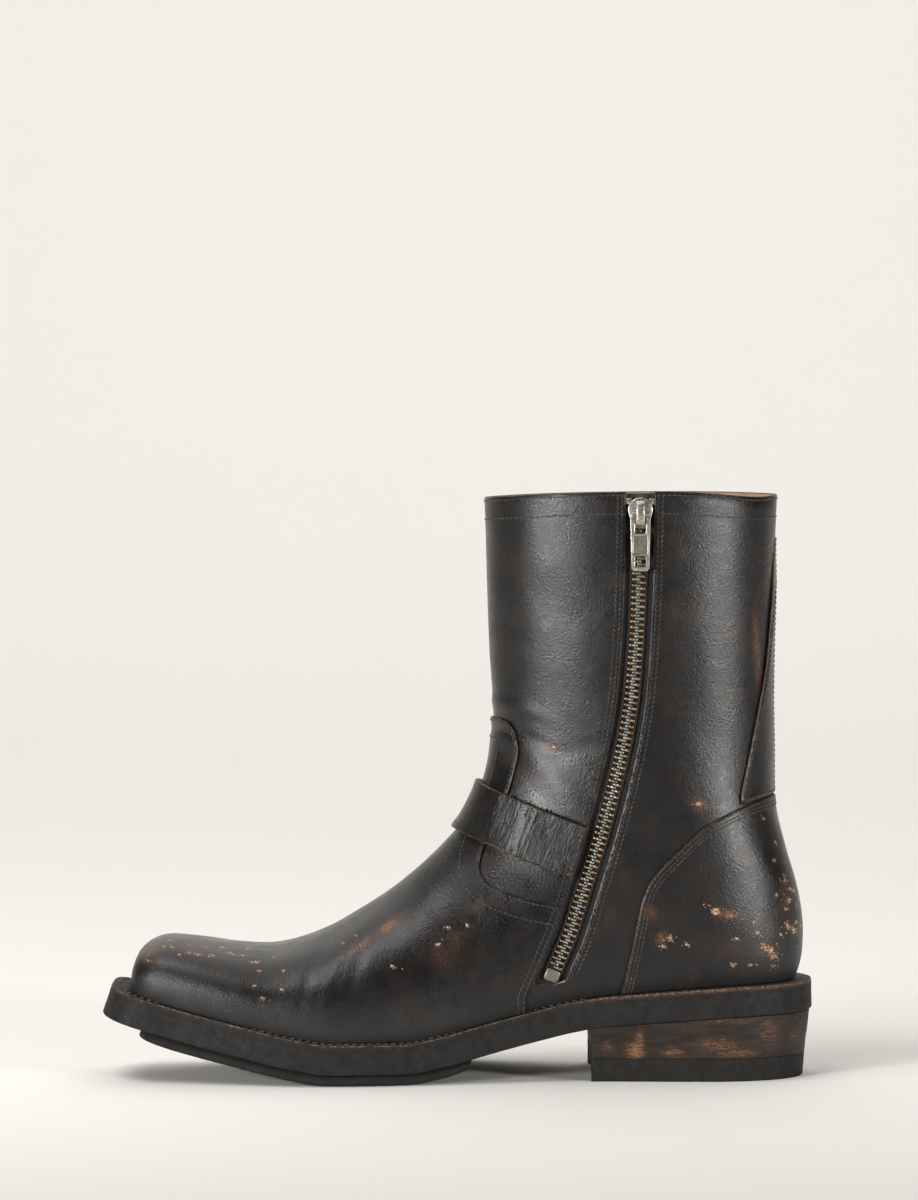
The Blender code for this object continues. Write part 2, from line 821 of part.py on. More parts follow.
def make_boot():
    for existing in list(bpy.data.objects):
        bpy.data.objects.remove(existing, do_unlink=True)
    leather = material("Black leather", (0.022, 0.019, 0.018), 0.42)
    lining = material("Tan lining", (0.36, 0.25, 0.17), 0.75)
    edge = material("Dressed sole edge", (0.035, 0.033, 0.033), 0.6)
    rubber = material("Black rubber", (0.012, 0.012, 0.012), 0.7)
    stacked = material("Stacked leather", (0.05, 0.034, 0.026), 0.55)
    tape = material("Black tape", (0.01, 0.01, 0.01), 0.9)
    brass = material("Antique brass", (0.34, 0.24, 0.16), 0.35, 1.0)
    nickel = material("Old nickel", (0.42, 0.39, 0.34), 0.32, 1.0)

    boot = Boot()
    boot.feather_cut = boot.cutter("Under the feather line", under_feather(GAP))
    boot.collar_cut = boot.cutter("Above the collar", above_collar())
    make_upper(boot, leather)
    make_vamp(boot, leather)
    make_counter(boot, leather)
    make_back_stay(boot, leather)
    make_insole(boot, lining)
    make_welt(boot, edge)
    make_midsole(boot, edge)
    make_outsole(boot, rubber)
    make_heel(boot, stacked, rubber)
    make_strap(boot, leather)
    make_buckle(boot, nickel)
    make_tape(boot, tape)
    make_chain(boot, brass)
    middle = make_slider(boot, nickel)
    make_pull(boot, middle, nickel)


make_boot()
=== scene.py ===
"""Looks of the engineer boot: right foot, inner (zip) side towards the camera.

Sizes are in millimetres and become metres only where a mesh is made. The last's
sections and the panels' edges repeat the ones that the CAD pieces are built from.
"""

import json
import math
import random
from collections import namedtuple

import bmesh
import bpy
import numpy as np
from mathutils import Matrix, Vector, noise
from mathutils.bvhtree import BVHTree

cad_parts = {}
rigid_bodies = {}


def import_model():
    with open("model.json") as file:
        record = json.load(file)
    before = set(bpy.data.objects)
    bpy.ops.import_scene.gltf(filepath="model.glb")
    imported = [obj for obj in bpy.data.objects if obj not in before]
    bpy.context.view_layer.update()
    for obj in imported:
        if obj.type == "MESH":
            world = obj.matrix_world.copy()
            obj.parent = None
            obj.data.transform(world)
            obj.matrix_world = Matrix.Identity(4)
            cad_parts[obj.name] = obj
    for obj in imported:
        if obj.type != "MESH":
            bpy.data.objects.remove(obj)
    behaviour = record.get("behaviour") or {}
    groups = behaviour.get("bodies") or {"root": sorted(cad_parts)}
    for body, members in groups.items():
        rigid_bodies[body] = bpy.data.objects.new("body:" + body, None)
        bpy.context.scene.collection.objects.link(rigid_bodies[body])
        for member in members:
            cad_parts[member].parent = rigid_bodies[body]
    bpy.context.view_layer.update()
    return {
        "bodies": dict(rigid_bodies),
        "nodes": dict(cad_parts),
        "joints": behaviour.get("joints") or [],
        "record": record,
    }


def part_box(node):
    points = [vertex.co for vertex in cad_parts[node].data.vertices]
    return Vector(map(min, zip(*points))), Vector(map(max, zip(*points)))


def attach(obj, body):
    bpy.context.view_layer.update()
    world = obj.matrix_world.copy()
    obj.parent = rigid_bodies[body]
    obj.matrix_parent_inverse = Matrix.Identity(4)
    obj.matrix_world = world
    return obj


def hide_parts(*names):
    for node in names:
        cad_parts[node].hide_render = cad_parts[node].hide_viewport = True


for existing in list(bpy.data.objects):
    bpy.data.objects.remove(existing, do_unlink=True)
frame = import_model()

random.seed(7)

MM = 0.001
# A distance past every edge, the collar's dip beside the zip, the slack that keeps an
# overlay off the upper, and how rough the sole's edge is
FAR = 50.0
COLLAR_FALL = 1.6
OVERLAY_SLACK = 0.04
EDGE_ROUGHNESS = 0.28

# Sizes of the CAD model
SOLE_LENGTH = 304.2
BALL_WIDTH = 104.0
HEEL_LENGTH = 96.5
TOP_LIFT = 10.0
COLLAR_HEIGHT = 251.6
COLLAR_RISE = 1.4
COLLAR_CROWN = {-1: 2.6, 1: 1.0}
WALL = 2.2
OVERLAY = 1.3
GAP = 0.3
WELT = 3.2
MIDSOLE = 9.5
OUTSOLE = 4.7
LASTING_DEPTH = 10.0
BACK_X = 153.7
TOE_X = BACK_X - SOLE_LENGTH
BREAST_X = BACK_X - HEEL_LENGTH - 0.2
BALL_HEIGHT = OUTSOLE + MIDSOLE + WELT + 2 * GAP
OUTSOLE_START = 16.5
OUTSOLE_INSET = 3.2

STRAP_FRONT = (2.2, 118.4)
STRAP_SLOPE = math.radians(-21.0)
STRAP_HALF = 11.4
STRAP_OUT = 1.8
STRAP_THICK = 2.5
STRAP_TIP = 104.0
STRAP_POINT = 12.0
BUCKLE_AT = 60.0
BUCKLE_HALF_LENGTH = 10.0
BUCKLE_HALF_WIDTH = 14.6
BUCKLE_CORNER = 4.0
BUCKLE_WIRE = 1.5
PRONG_WIRE = 1.0

SLOT_HALF = 6.0
SLOT_FOOT = 42.7
TAPE_HALF = 13.0
TAPE_THICK = 0.6
STOP_LENGTH = 5.6
SLIDER_Z = 245.6
PULL_HALF = 4.4
PULL_LENGTH = 24.6
PULL_THICK = 1.6

# Camera of the photograph, in millimetres and in pixels of its 918 x 1200 frame
CAMERA_BACK = 2390.0
CAMERA_HEIGHT = 300.4
FOCAL = 5489.0
PHOTO_CENTRE = (459.5, 600.0)
PHOTO_HEIGHT = 1200.0
HORIZON = 385.0
CAMERA_FALL = math.atan((PHOTO_CENTRE[1] - HORIZON) / FOCAL)
SENSOR = 36.0

# A row for each section of the last, as in the CAD
Section = namedtuple("Section", "top_x top_z low_x low_z share drift widest crown base")
SECTIONS = [Section(*row) for row in (
    (-140.0, 48.5, -141.0, 33.0, 0.375, -6.0, 0.50, 2.8, 2.8),
    (-138.0, 53.2, -139.5, 29.5, 0.485, -6.0, 0.50, 2.8, 3.0),
    (-133.4, 57.3, -136.0, None, 0.570, -5.5, 0.48, 2.7, 3.2),
    (-126.0, 59.6, -129.0, None, 0.635, -5.0, 0.46, 2.6, 3.4),
    (-113.0, 58.6, -115.0, None, 0.720, -4.0, 0.45, 2.5, 3.5),
    (-97.0, 56.4, -98.0, None, 0.810, -2.5, 0.44, 2.4, 3.5),
    (-80.0, 55.7, -79.0, None, 0.875, -1.0, 0.42, 2.3, 3.5),
    (-62.6, 60.3, -59.0, None, 0.920, 0.0, 0.38, 2.2, 3.5),
    (-45.4, 69.0, -38.0, None, 0.920, 1.0, 0.35, 2.1, 3.5),
    (-28.2, 80.0, -16.0, None, 0.875, 1.8, 0.34, 2.0, 3.5),
    (-12.8, 93.0, 8.0, None, 0.815, 2.2, 0.35, 2.0, 3.4),
    (1.0, 107.2, 34.0, None, 0.770, 2.0, 0.37, 2.0, 3.2),
    (8.9, 121.0, 62.0, None, 0.745, 1.5, 0.40, 2.0, 3.1),
    (12.9, 134.0, 90.0, None, 0.735, 1.0, 0.43, 2.1, 3.0),
    (14.8, 145.5, 116.0, None, 0.730, 0.5, 0.46, 2.1, 2.9),
    (15.2, 156.0, 136.0, 33.0, 0.730, 0.0, 0.49, 2.2, 2.7),
    (14.6, 166.5, 145.8, 44.0, 0.730, 0.0, 0.50, 2.2, 2.5),
    (13.7, 177.5, 148.6, 62.0, 0.735, 0.0, 0.50, 2.2, 2.3),
    (13.0, 189.0, 146.6, 81.0, 0.745, 0.0, 0.50, 2.2, 2.2),
    (12.4, 201.0, 141.2, 100.0, 0.755, 0.0, 0.50, 2.2, 2.2),
    (12.0, 213.0, 136.6, 120.0, 0.770, 0.0, 0.50, 2.2, 2.2),
    (11.8, 225.0, 136.0, 145.0, 0.785, 0.0, 0.50, 2.2, 2.2),
    (11.5, 238.0, 135.8, 180.0, 0.810, 0.0, 0.50, 2.2, 2.2),
    (11.0, 252.0, 137.2, 222.0, 0.830, 0.0, 0.50, 2.2, 2.2),
    (10.2, 268.0, 139.2, 268.0, 0.850, 0.0, 0.50, 2.2, 2.2),
)]

# Height of the feather line above the ball's
FEATHER = (
    (-156.0, 25.0), (-147.0, 21.9), (-134.0, 17.9), (-112.0, 12.0), (-92.0, 7.2), (-72.0, 2.6),
    (-55.0, 0.0), (-25.0, 0.0), (-9.0, 2.4), (9.0, 7.0), (31.0, 12.6), (48.0, 16.6), (60.0, 18.6),
    (75.0, 20.0), (100.0, 21.9), (125.0, 23.5), (156.0, 24.3),
)

# Edge of the sole seen from above: x, inner and outer y
SOLE_EDGE = (
    (-152.0, -40.0, 28.0), (-128.0, -41.0, 32.0), (-112.0, -44.0, 37.0), (-92.0, -48.0, 43.0),
    (-72.0, -51.0, 48.0), (-52.0, -52.0, 51.5), (-32.0, -50.0, 52.5), (-12.0, -45.0, 51.0),
    (8.0, -40.0, 48.0), (28.0, -36.5, 44.0), (48.0, -35.0, 40.0), (64.0, -35.0, 37.5),
    (84.0, -35.5, 36.5), (112.0, -36.0, 36.0), (154.0, -36.0, 36.0),
)
TOE_ZONE = 24.0
TOE_SQUARE = 3.4
HEEL_ZONE = 42.0
HEEL_SQUARE = 2.1

# Middle of the zip seen from the side: z, x
ZIP_LINE = (
    (36.0, 35.6), (45.8, 39.9), (52.5, 42.7), (66.0, 48.2), (85.0, 54.1), (101.0, 59.1),
    (117.0, 63.7), (148.0, 71.0), (170.0, 74.3), (201.0, 76.4), (226.0, 77.2), (262.0, 77.7),
)

# Edges of the panels seen from the side: x, z
VAMP_EDGE = (
    (17.5, 155.9), (21.1, 154.2), (23.7, 150.5), (25.0, 145.7), (25.0, 139.7), (23.5, 133.0),
    (21.0, 124.5), (16.2, 113.0), (11.2, 102.4), (9.0, 96.4), (8.8, 91.3), (10.8, 87.1),
    (15.0, 84.0), (21.1, 81.8), (29.4, 79.2), (38.4, 77.4), (48.0, 75.6),
)
COUNTER_EDGE = (
    (150.0, 125.0), (132.2, 121.3), (119.6, 117.4), (105.9, 110.5), (95.6, 101.5), (85.4, 91.2),
    (80.8, 84.3), (78.0, 76.0), (76.0, 66.0), (72.7, 50.2), (70.0, 38.0), (66.0, 22.0),
)
STAY_EDGE = (
    (138.6, 236.0), (135.4, 200.0), (132.9, 176.4), (127.6, 149.9), (121.7, 124.0),
)


# Curves through the tables


def steady(rows, at, column=1):
    """Value of a table column at `at`, smooth and without overshoot between rows."""
    keys = [row[0] for row in rows]
    if at <= keys[0]:
        return rows[0][column]
    if at >= keys[-1]:
        return rows[-1][column]
    i = max(k for k in range(len(keys) - 1) if keys[k] <= at)

    def rise(k):
        return (rows[k + 1][column] - rows[k][column]) / (keys[k + 1] - keys[k])

    def slope(k):
        if k == 0 or k == len(keys) - 1:
            return rise(min(k, len(keys) - 2))
        before, after = rise(k - 1), rise(k)
        if before * after <= 0:
            return 0.0
        return 2 * before * after / (before + after)

    span = keys[i + 1] - keys[i]
    t = (at - keys[i]) / span
    low, high = rows[i][column], rows[i + 1][column]
    return (
        low * (1 + 2 * t) * (1 - t) ** 2
        + slope(i) * span * t * (1 - t) ** 2
        + high * t * t * (3 - 2 * t)
        + slope(i + 1) * span * t * t * (t - 1)
    )


def table_curve(rows, column=1, step=0.5):
    """Vectorised `steady`: a function that reads a table's column at many places."""
    keys = np.arange(rows[0][0], rows[-1][0] + step, step)
    values = np.array([steady(rows, key, column) for key in keys])
    return lambda at: np.interp(at, keys, values)


feather_rise = table_curve(FEATHER)
zip_middle = table_curve(ZIP_LINE)


def feather(x):
    return BALL_HEIGHT + feather_rise(x)


def below_feather(x, depth):
    """Points (x, z) that lie `depth` under the feather line, square to it."""
    slope = (feather(x + 1.0) - feather(x - 1.0)) / 2
    length = np.hypot(1.0, slope)
    return x + depth * slope / length, feather(x) - depth / length


def collar_level(x, y):
    crown = np.where(y < 0, COLLAR_CROWN[-1], COLLAR_CROWN[1])
    rise = COLLAR_RISE * (x - 10.0) / 128.0
    rear, inner = np.asarray(x, float), -np.asarray(y, float)
    fall = COLLAR_FALL * soft_step(rear, 86.0, 134.0) * soft_step(inner, 6.0, 30.0)
    return COLLAR_HEIGHT + rise - fall + crown * np.minimum(np.abs(y) / 44.0, 1.0) ** 2


def between(a, b, c, d, t):
    """Smooth value a share t of the way from b to c, with a before them and d after."""
    bend = a - 2.5 * b + 2 * c - 0.5 * d
    return b + 0.5 * t * (c - a) + t * t * bend + t * t * t * (1.5 * (b - c) + 0.5 * (d - a))


def smooth_line(points, per=6):
    """Open line through the points, with `per` steps between two of them."""
    line = np.array(points, float)
    padded = np.vstack([2 * line[0] - line[1], line, 2 * line[-1] - line[-2]])
    spans = zip(padded, padded[1:], padded[2:], padded[3:])
    made = [between(*span, k / per) for span in spans for k in range(per)]
    return [tuple(point) for point in (*made, line[-1])]


def walk(points):
    """Length of a line up to each of its points."""
    return np.concatenate([[0], np.cumsum(np.linalg.norm(np.diff(points, axis=0), axis=1))])


def at_length(at, walked, values):
    """The three columns of a line's values, read at a length along it."""
    return [np.interp(at, walked, values[:, column]) for column in range(3)]


def soft_step(value, low, high):
    t = np.clip((value - low) / (high - low), 0.0, 1.0)
    return t * t * (3 - 2 * t)


# The last


def section_at(place):
    """Section of the last at a place counted in rows of SECTIONS."""
    i = min(int(place), len(SECTIONS) - 2)
    t = place - i
    rows = [SECTIONS[max(0, min(len(SECTIONS) - 1, i + k))] for k in (-1, 0, 1, 2)]
    values = []
    for column in Section._fields:
        near = [getattr(row, column) for row in rows]
        for k, row in enumerate(rows):
            if near[k] is None:
                near[k] = feather(row.low_x) - LASTING_DEPTH
        values.append(between(*near, t))
    return Section(*values)


def section_ring(section, sides):
    """Points of a section, evenly spread along its line from its top point."""
    turn = np.linspace(0, 2 * math.pi, 1441)
    up, across = np.cos(turn), np.sin(turn)
    power = np.where(up > 0, 2 / section.crown, 2 / section.base)
    reach = np.where(up > 0, 1 - section.widest, section.widest)
    height = section.widest + np.sign(up) * reach * np.abs(up) ** power
    half = section.share * BALL_WIDTH / 2
    x = section.low_x + (section.top_x - section.low_x) * height
    y = section.drift + half * np.sign(across) * np.abs(across) ** power
    z = section.low_z + (section.top_z - section.low_z) * height
    dense = np.column_stack([x, y, z])
    walked = walk(dense)
    wanted = np.arange(sides) / sides * walked[-1]
    return np.column_stack(at_length(wanted, walked, dense))


class Form:
    """Fine mesh of the last between two rows of SECTIONS: points, normals, faces."""

    toe_dome = 0.7
    dome_rings = (0.93, 0.8, 0.62, 0.4, 0.18)

    def __init__(self, row_from, row_to, steps, sides):
        places = np.linspace(row_from, row_to, steps + 1)
        rings = [section_ring(section_at(place), sides) for place in places]
        if row_from == 0:
            first = rings[0]
            middle = first.mean(axis=0)
            for share in self.dome_rings:
                ring = middle + (first - middle) * share
                ring[:, 0] -= self.toe_dome * (1 - share * share)
                rings.insert(0, ring)
        points = np.vstack(rings)
        count = len(rings)
        faces = []
        for row in range(count - 1):
            for k in range(sides):
                after = (k + 1) % sides
                low, high = row * sides, (row + 1) * sides
                faces.append((low + k, low + after, high + after, high + k))
        if row_from == 0:
            tip = len(points)
            middle = middle - np.array([self.toe_dome, 0, 0])
            points = np.vstack([points, middle])
            faces += [(tip, (k + 1) % sides, k) for k in range(sides)]
        mesh = bpy.data.meshes.new("form")
        mesh.from_pydata(points.tolist(), [], faces)
        mesh.update()
        normals = np.zeros(len(points) * 3, np.float32)
        mesh.vertex_normals.foreach_get("vector", normals)
        normals = normals.reshape(-1, 3).astype(float)
        bpy.data.meshes.remove(mesh)
        outward = np.einsum("ij,ij->i", normals, points - np.array([20.0, 0, 90.0])).sum()
        if outward < 0:
            normals = -normals
            faces = [face[::-1] for face in faces]
        self.points, self.normals, self.faces = points, normals, faces

    def skin(self, outset):
        """Mesh of the form grown by `outset`, with its relief."""
        bm = bmesh.new()
        grow = outset + relief(self.points)
        places = self.points + self.normals * grow[:, None]
        made = [bm.verts.new(point) for point in places]
        for face in self.faces:
            bm.faces.new([made[k] for k in face])
        bm.normal_update()
        return bm


def slow_noise(points, size, seed):
    """Smooth noise from -1 to 1 with features about `size` long."""
    shift = Vector((seed * 7.1, seed * 3.7, seed * 5.3))
    return np.array([noise.noise(Vector(point) / size + shift) for point in points])


# Soft folds of the leather seen from the side: x, z, its lean in degrees, its
# length, its width and its depth, which is negative for a trough
Fold = namedtuple("Fold", "x z lean length width depth")
FOLDS = (
    Fold(24.0, 150.0, -12.0, 34.0, 5.0, -0.5),
    Fold(20.0, 162.0, -8.0, 40.0, 6.0, 0.5),
    Fold(60.0, 146.0, 8.0, 34.0, 6.0, -0.35),
    Fold(-62.0, 50.0, 62.0, 30.0, 5.0, -0.45),
    Fold(-52.0, 52.0, 64.0, 34.0, 5.0, 0.4),
    Fold(-42.0, 54.0, 66.0, 32.0, 5.0, -0.4),
)


def relief(points):
    """How far the leather stands in or out, from slow waves and the placed folds."""
    rise = 0.35 * slow_noise(points, 38.0, 1) + 0.16 * slow_noise(points, 14.0, 2)
    x, z = points[:, 0], points[:, 2]
    for fold in FOLDS:
        lean = math.radians(fold.lean)
        along = (x - fold.x) * math.cos(lean) + (z - fold.z) * math.sin(lean)
        across = -(x - fold.x) * math.sin(lean) + (z - fold.z) * math.cos(lean)
        bow = across + along * along / (4 * fold.length)
        reach = np.exp(-((along / (0.5 * fold.length)) ** 2) - (bow / (0.5 * fold.width)) ** 2)
        rise = rise + fold.depth * reach
    calm = soft_step(z - feather(x), 2.0, 12.0) * (1 - 0.7 * soft_step(z, 235.0, 252.0))
    return rise * calm


# Cutting a skin to a panel. A field is a function of points that is positive inside.


def inside(outline):
    """Distance from a side-view outline (x, z), positive inside it."""
    start = np.array(outline, float)
    run = np.roll(start, -1, axis=0) - start
    squares = np.maximum((run**2).sum(axis=1), 1e-12)

    def field(points):
        place = points[:, [0, 2]]
        best = np.full(len(place), 1e18)
        odd = np.zeros(len(place), bool)
        for a, step, square in zip(start, run, squares):
            offset = place - a
            t = np.clip((offset @ step) / square, 0, 1)
            best = np.minimum(best, ((offset - t[:, None] * step) ** 2).sum(axis=1))
            low, high = a[1], a[1] + step[1]
            if low != high:
                crosses = (low > place[:, 1]) != (high > place[:, 1])
                at = a[0] + (place[:, 1] - low) * step[0] / (high - low)
                odd ^= crosses & (place[:, 0] < at)
        return np.where(odd, 1, -1) * np.sqrt(best)

    return field


def above_feather(points):
    return points[:, 2] - feather(points[:, 0]) - 0.1


def below_collar(points):
    return collar_level(points[:, 0], points[:, 1]) - points[:, 2]


def from_zip(points):
    """Distance from the zip's middle on the inner side, negative ahead of it."""
    z = points[:, 2]
    slope = (zip_middle(z + 1) - zip_middle(z - 1)) / 2
    return (points[:, 0] - zip_middle(z)) / np.hypot(1.0, slope)


def beside_slot(points):
    """Positive outside the zip's slot."""
    beside = np.abs(from_zip(points)) - SLOT_HALF
    return np.maximum(np.maximum(beside, SLOT_FOOT - points[:, 2]), points[:, 1])


def clip(bm, field):
    """Cuts the mesh where the field is nought and keeps what is positive."""
    bm.verts.ensure_lookup_table()
    bm.verts.index_update()
    values = field(np.array([vert.co for vert in bm.verts]))
    snap = {}
    for edge in bm.edges:
        one, two = edge.verts
        a, b = values[one.index], values[two.index]
        if (a < 0) == (b < 0):
            continue
        t = a / (a - b)
        if t < 0.3 and t < snap.get(one.index, (1.0,))[0]:
            snap[one.index] = (t, one.co.lerp(two.co, t))
        if t > 0.7 and 1 - t < snap.get(two.index, (1.0,))[0]:
            snap[two.index] = (1 - t, one.co.lerp(two.co, t))
    # These two are dicts because a set of mesh parts has another order at each run
    on_line = {}
    for index, (_, place) in snap.items():
        bm.verts[index].co = place
        on_line[bm.verts[index]] = True
    worth = {vert: values[vert.index] for vert in bm.verts}
    for vert in on_line:
        worth[vert] = 0.0
    for edge in list(bm.edges):
        one, two = edge.verts
        a, b = worth[one], worth[two]
        if a * b < 0:
            _, made = bmesh.utils.edge_split(edge, one, a / (a - b))
            worth[made] = 0.0
            on_line[made] = True
    touched = {face: True for vert in on_line for face in vert.link_faces}
    for face in touched:
        cut = [vert for vert in face.verts if vert in on_line]
        signs = {worth[vert] > 0 for vert in face.verts if vert not in on_line}
        if len(cut) == 2 and len(signs) == 2:
            bmesh.utils.face_split(face, cut[0], cut[1])
    doomed = []
    for face in bm.faces:
        total = sum(worth[vert] for vert in face.verts)
        if total < 0 or (total == 0 and len(face.verts) == 3):
            doomed.append(face)
    bmesh.ops.delete(bm, geom=doomed, context="FACES")
    bm.normal_update()
    return bm


def round_edge(bm, width=0.4, drop=0.3):
    """Adds a narrow band along the panel's edge and lets its rim fall away."""
    bmesh.ops.inset_region(
        bm, faces=bm.faces[:], use_boundary=True, use_even_offset=False, thickness=width
    )
    bm.normal_update()
    rim = [vert for vert in bm.verts if vert.is_boundary]
    moves = [(vert, vert.normal * -drop) for vert in rim]
    for vert, move in moves:
        vert.co += move


def placed(name, data):
    """New object in the scene for a mesh, a lamp or a camera."""
    made = bpy.data.objects.new(name, data)
    bpy.context.scene.collection.objects.link(made)
    return made


def dressed(name, mesh, materials, replaced, body):
    """Piece that rides on a body and stands for the CAD nodes it replaces."""
    for finish in materials:
        mesh.materials.append(finish)
    mesh.shade_smooth()
    made = placed(name, mesh)
    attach(made, body)
    if replaced:
        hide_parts(*replaced)
    return made


def add_piece(name, bm, materials, replaced=(), body="boot"):
    """Piece from a mesh in millimetres."""
    bmesh.ops.scale(bm, vec=(MM, MM, MM), verts=bm.verts)
    mesh = bpy.data.meshes.new(name)
    bm.to_mesh(mesh)
    bm.free()
    return dressed(name, mesh, materials, replaced, body)


def thicken(piece, thickness):
    """Gives a skin its thickness inwards, with the second material on its rim."""
    step = piece.modifiers.new("Thickness", "SOLIDIFY")
    step.thickness = thickness * MM
    step.offset = -1.0
    step.use_even_offset = False
    step.use_quality_normals = False
    step.material_offset_rim = 1


def shift(bm, rise):
    """Moves a mesh along its normals by what `rise` gives for its points."""
    grow = rise(np.array([vert.co for vert in bm.verts]))
    moves = [(vert, vert.normal * float(step)) for vert, step in zip(bm.verts, grow)]
    for vert, move in moves:
        vert.co += move
    bm.normal_update()


def panel(name, form, outset, fields, finish, thickness, replaced, slot, rounded=True, rise=None):
    """Panel cut from the form's skin, and the surface that its stitches lie on."""
    bm = form.skin(outset)
    for field in fields:
        clip(bm, field)
    if rise:
        shift(bm, rise)
    surface = bm.copy()
    if rounded:
        round_edge(bm)
    piece = add_piece(name, bm, finish, replaced)
    thicken(piece, thickness)
    return piece, surface


# Sole


def outline_stations(spacing=1.5, corner=26):
    """Places along one side of the sole: (zone, value), from the toe to the heel."""
    stations = [("toe", math.pi / 2 * k / corner) for k in range(corner)]
    straight = SOLE_LENGTH - TOE_ZONE - HEEL_ZONE
    count = round(straight / spacing)
    stations += [("middle", k / count) for k in range(count)]
    stations += [("heel", math.pi / 2 * k / corner) for k in range(corner + 1)]
    return stations


def sole_points(inset, stations):
    """x, inner y and outer y of the sole's edge, `inset` inside the welt's edge."""
    rows = []
    toe, heel = TOE_X + inset, BACK_X - inset
    for zone, value in stations:
        fade = 1.0
        if zone == "toe":
            x = toe + TOE_ZONE * (1 - math.cos(value) ** (2 / TOE_SQUARE))
            fade = math.sin(value) ** (2 / TOE_SQUARE)
        elif zone == "heel":
            x = heel - HEEL_ZONE + HEEL_ZONE * math.sin(value) ** (2 / HEEL_SQUARE)
            fade = max(math.cos(value), 0.0) ** (2 / HEEL_SQUARE)
        else:
            x = toe + TOE_ZONE + (heel - HEEL_ZONE - toe - TOE_ZONE) * value
        inner, outer = steady(SOLE_EDGE, x, 1), steady(SOLE_EDGE, x, 2)
        middle, half = (inner + outer) / 2, ((outer - inner) / 2 - inset) * fade
        rows.append((x, middle - half, middle + half))
    return rows


def edge_noise(point, size, seed):
    return noise.noise(Vector(point) / size + Vector((seed, seed * 1.7, seed * 2.3)))


def loft(rings):
    """Mesh with bands of faces between rings of points, and its rings of vertices."""
    bm = bmesh.new()
    made = [[bm.verts.new(point) for point in ring] for ring in rings]
    count = len(rings[0])
    for ring, following in zip(made, made[1:]):
        for k in range(count):
            after = (k + 1) % count
            bm.faces.new((ring[k], ring[after], following[after], following[k]))
    return bm, made


def capped_loft(rings):
    bm, made = loft(rings)
    bm.faces.new(made[0])
    bm.faces.new(made[-1])
    bmesh.ops.recalc_face_normals(bm, faces=bm.faces)
    return bm


def plate(profile, stations):
    """Plate along the sole. The profile lists (inset, depth) from its top to its foot."""
    rings = []
    for inset, depth in profile:
        rows = sole_points(inset, stations)
        loop = [(x, inner) for x, inner, _ in rows]
        loop += [(x, outer) for x, _, outer in reversed(rows[1:-1])]
        ring = []
        for x, y in loop:
            low_x, low_z = below_feather(x, depth)
            point = Vector((low_x, y, low_z))
            shove = edge_noise(point, 5.0, 3) + 0.6 * edge_noise(point, 1.8, 5)
            shove *= EDGE_ROUGHNESS
            point.y += math.copysign(shove, y)
            point.x += shove * (1 if x > 0 else -1) * (0.0 if abs(x) < 100 else 0.5)
            point.z += 0.25 * shove
            ring.append(point)
        rings.append(ring)
    bm, made = loft(rings)
    count = len(rings[0])
    for ring in (made[0], made[-1]):
        for k in range(count // 2):
            corners = (ring[k], ring[k + 1], ring[count - k - 1], ring[(count - k) % count])
            bm.faces.new([vert for n, vert in enumerate(corners) if vert not in corners[:n]])
    bmesh.ops.recalc_face_normals(bm, faces=bm.faces)
    return bm


def band_profile(inset, top, low, round_top, round_low):
    """Profile of a band with rounded edges, as (inset, depth) from its top down."""
    over, under = [], []
    for step in range(5):
        away, fall = 1 - math.sin(math.pi / 8 * step), 1 - math.cos(math.pi / 8 * step)
        over.append((inset + round_top * away, top + round_top * fall))
        under.append((inset + round_low * away, low - round_low * fall))
    middle = [(inset, top + (low - top) * share) for share in (0.25, 0.4, 0.55, 0.7, 0.85)]
    return [(inset + 6.0, top)] + over + middle + under[::-1]


# Materials


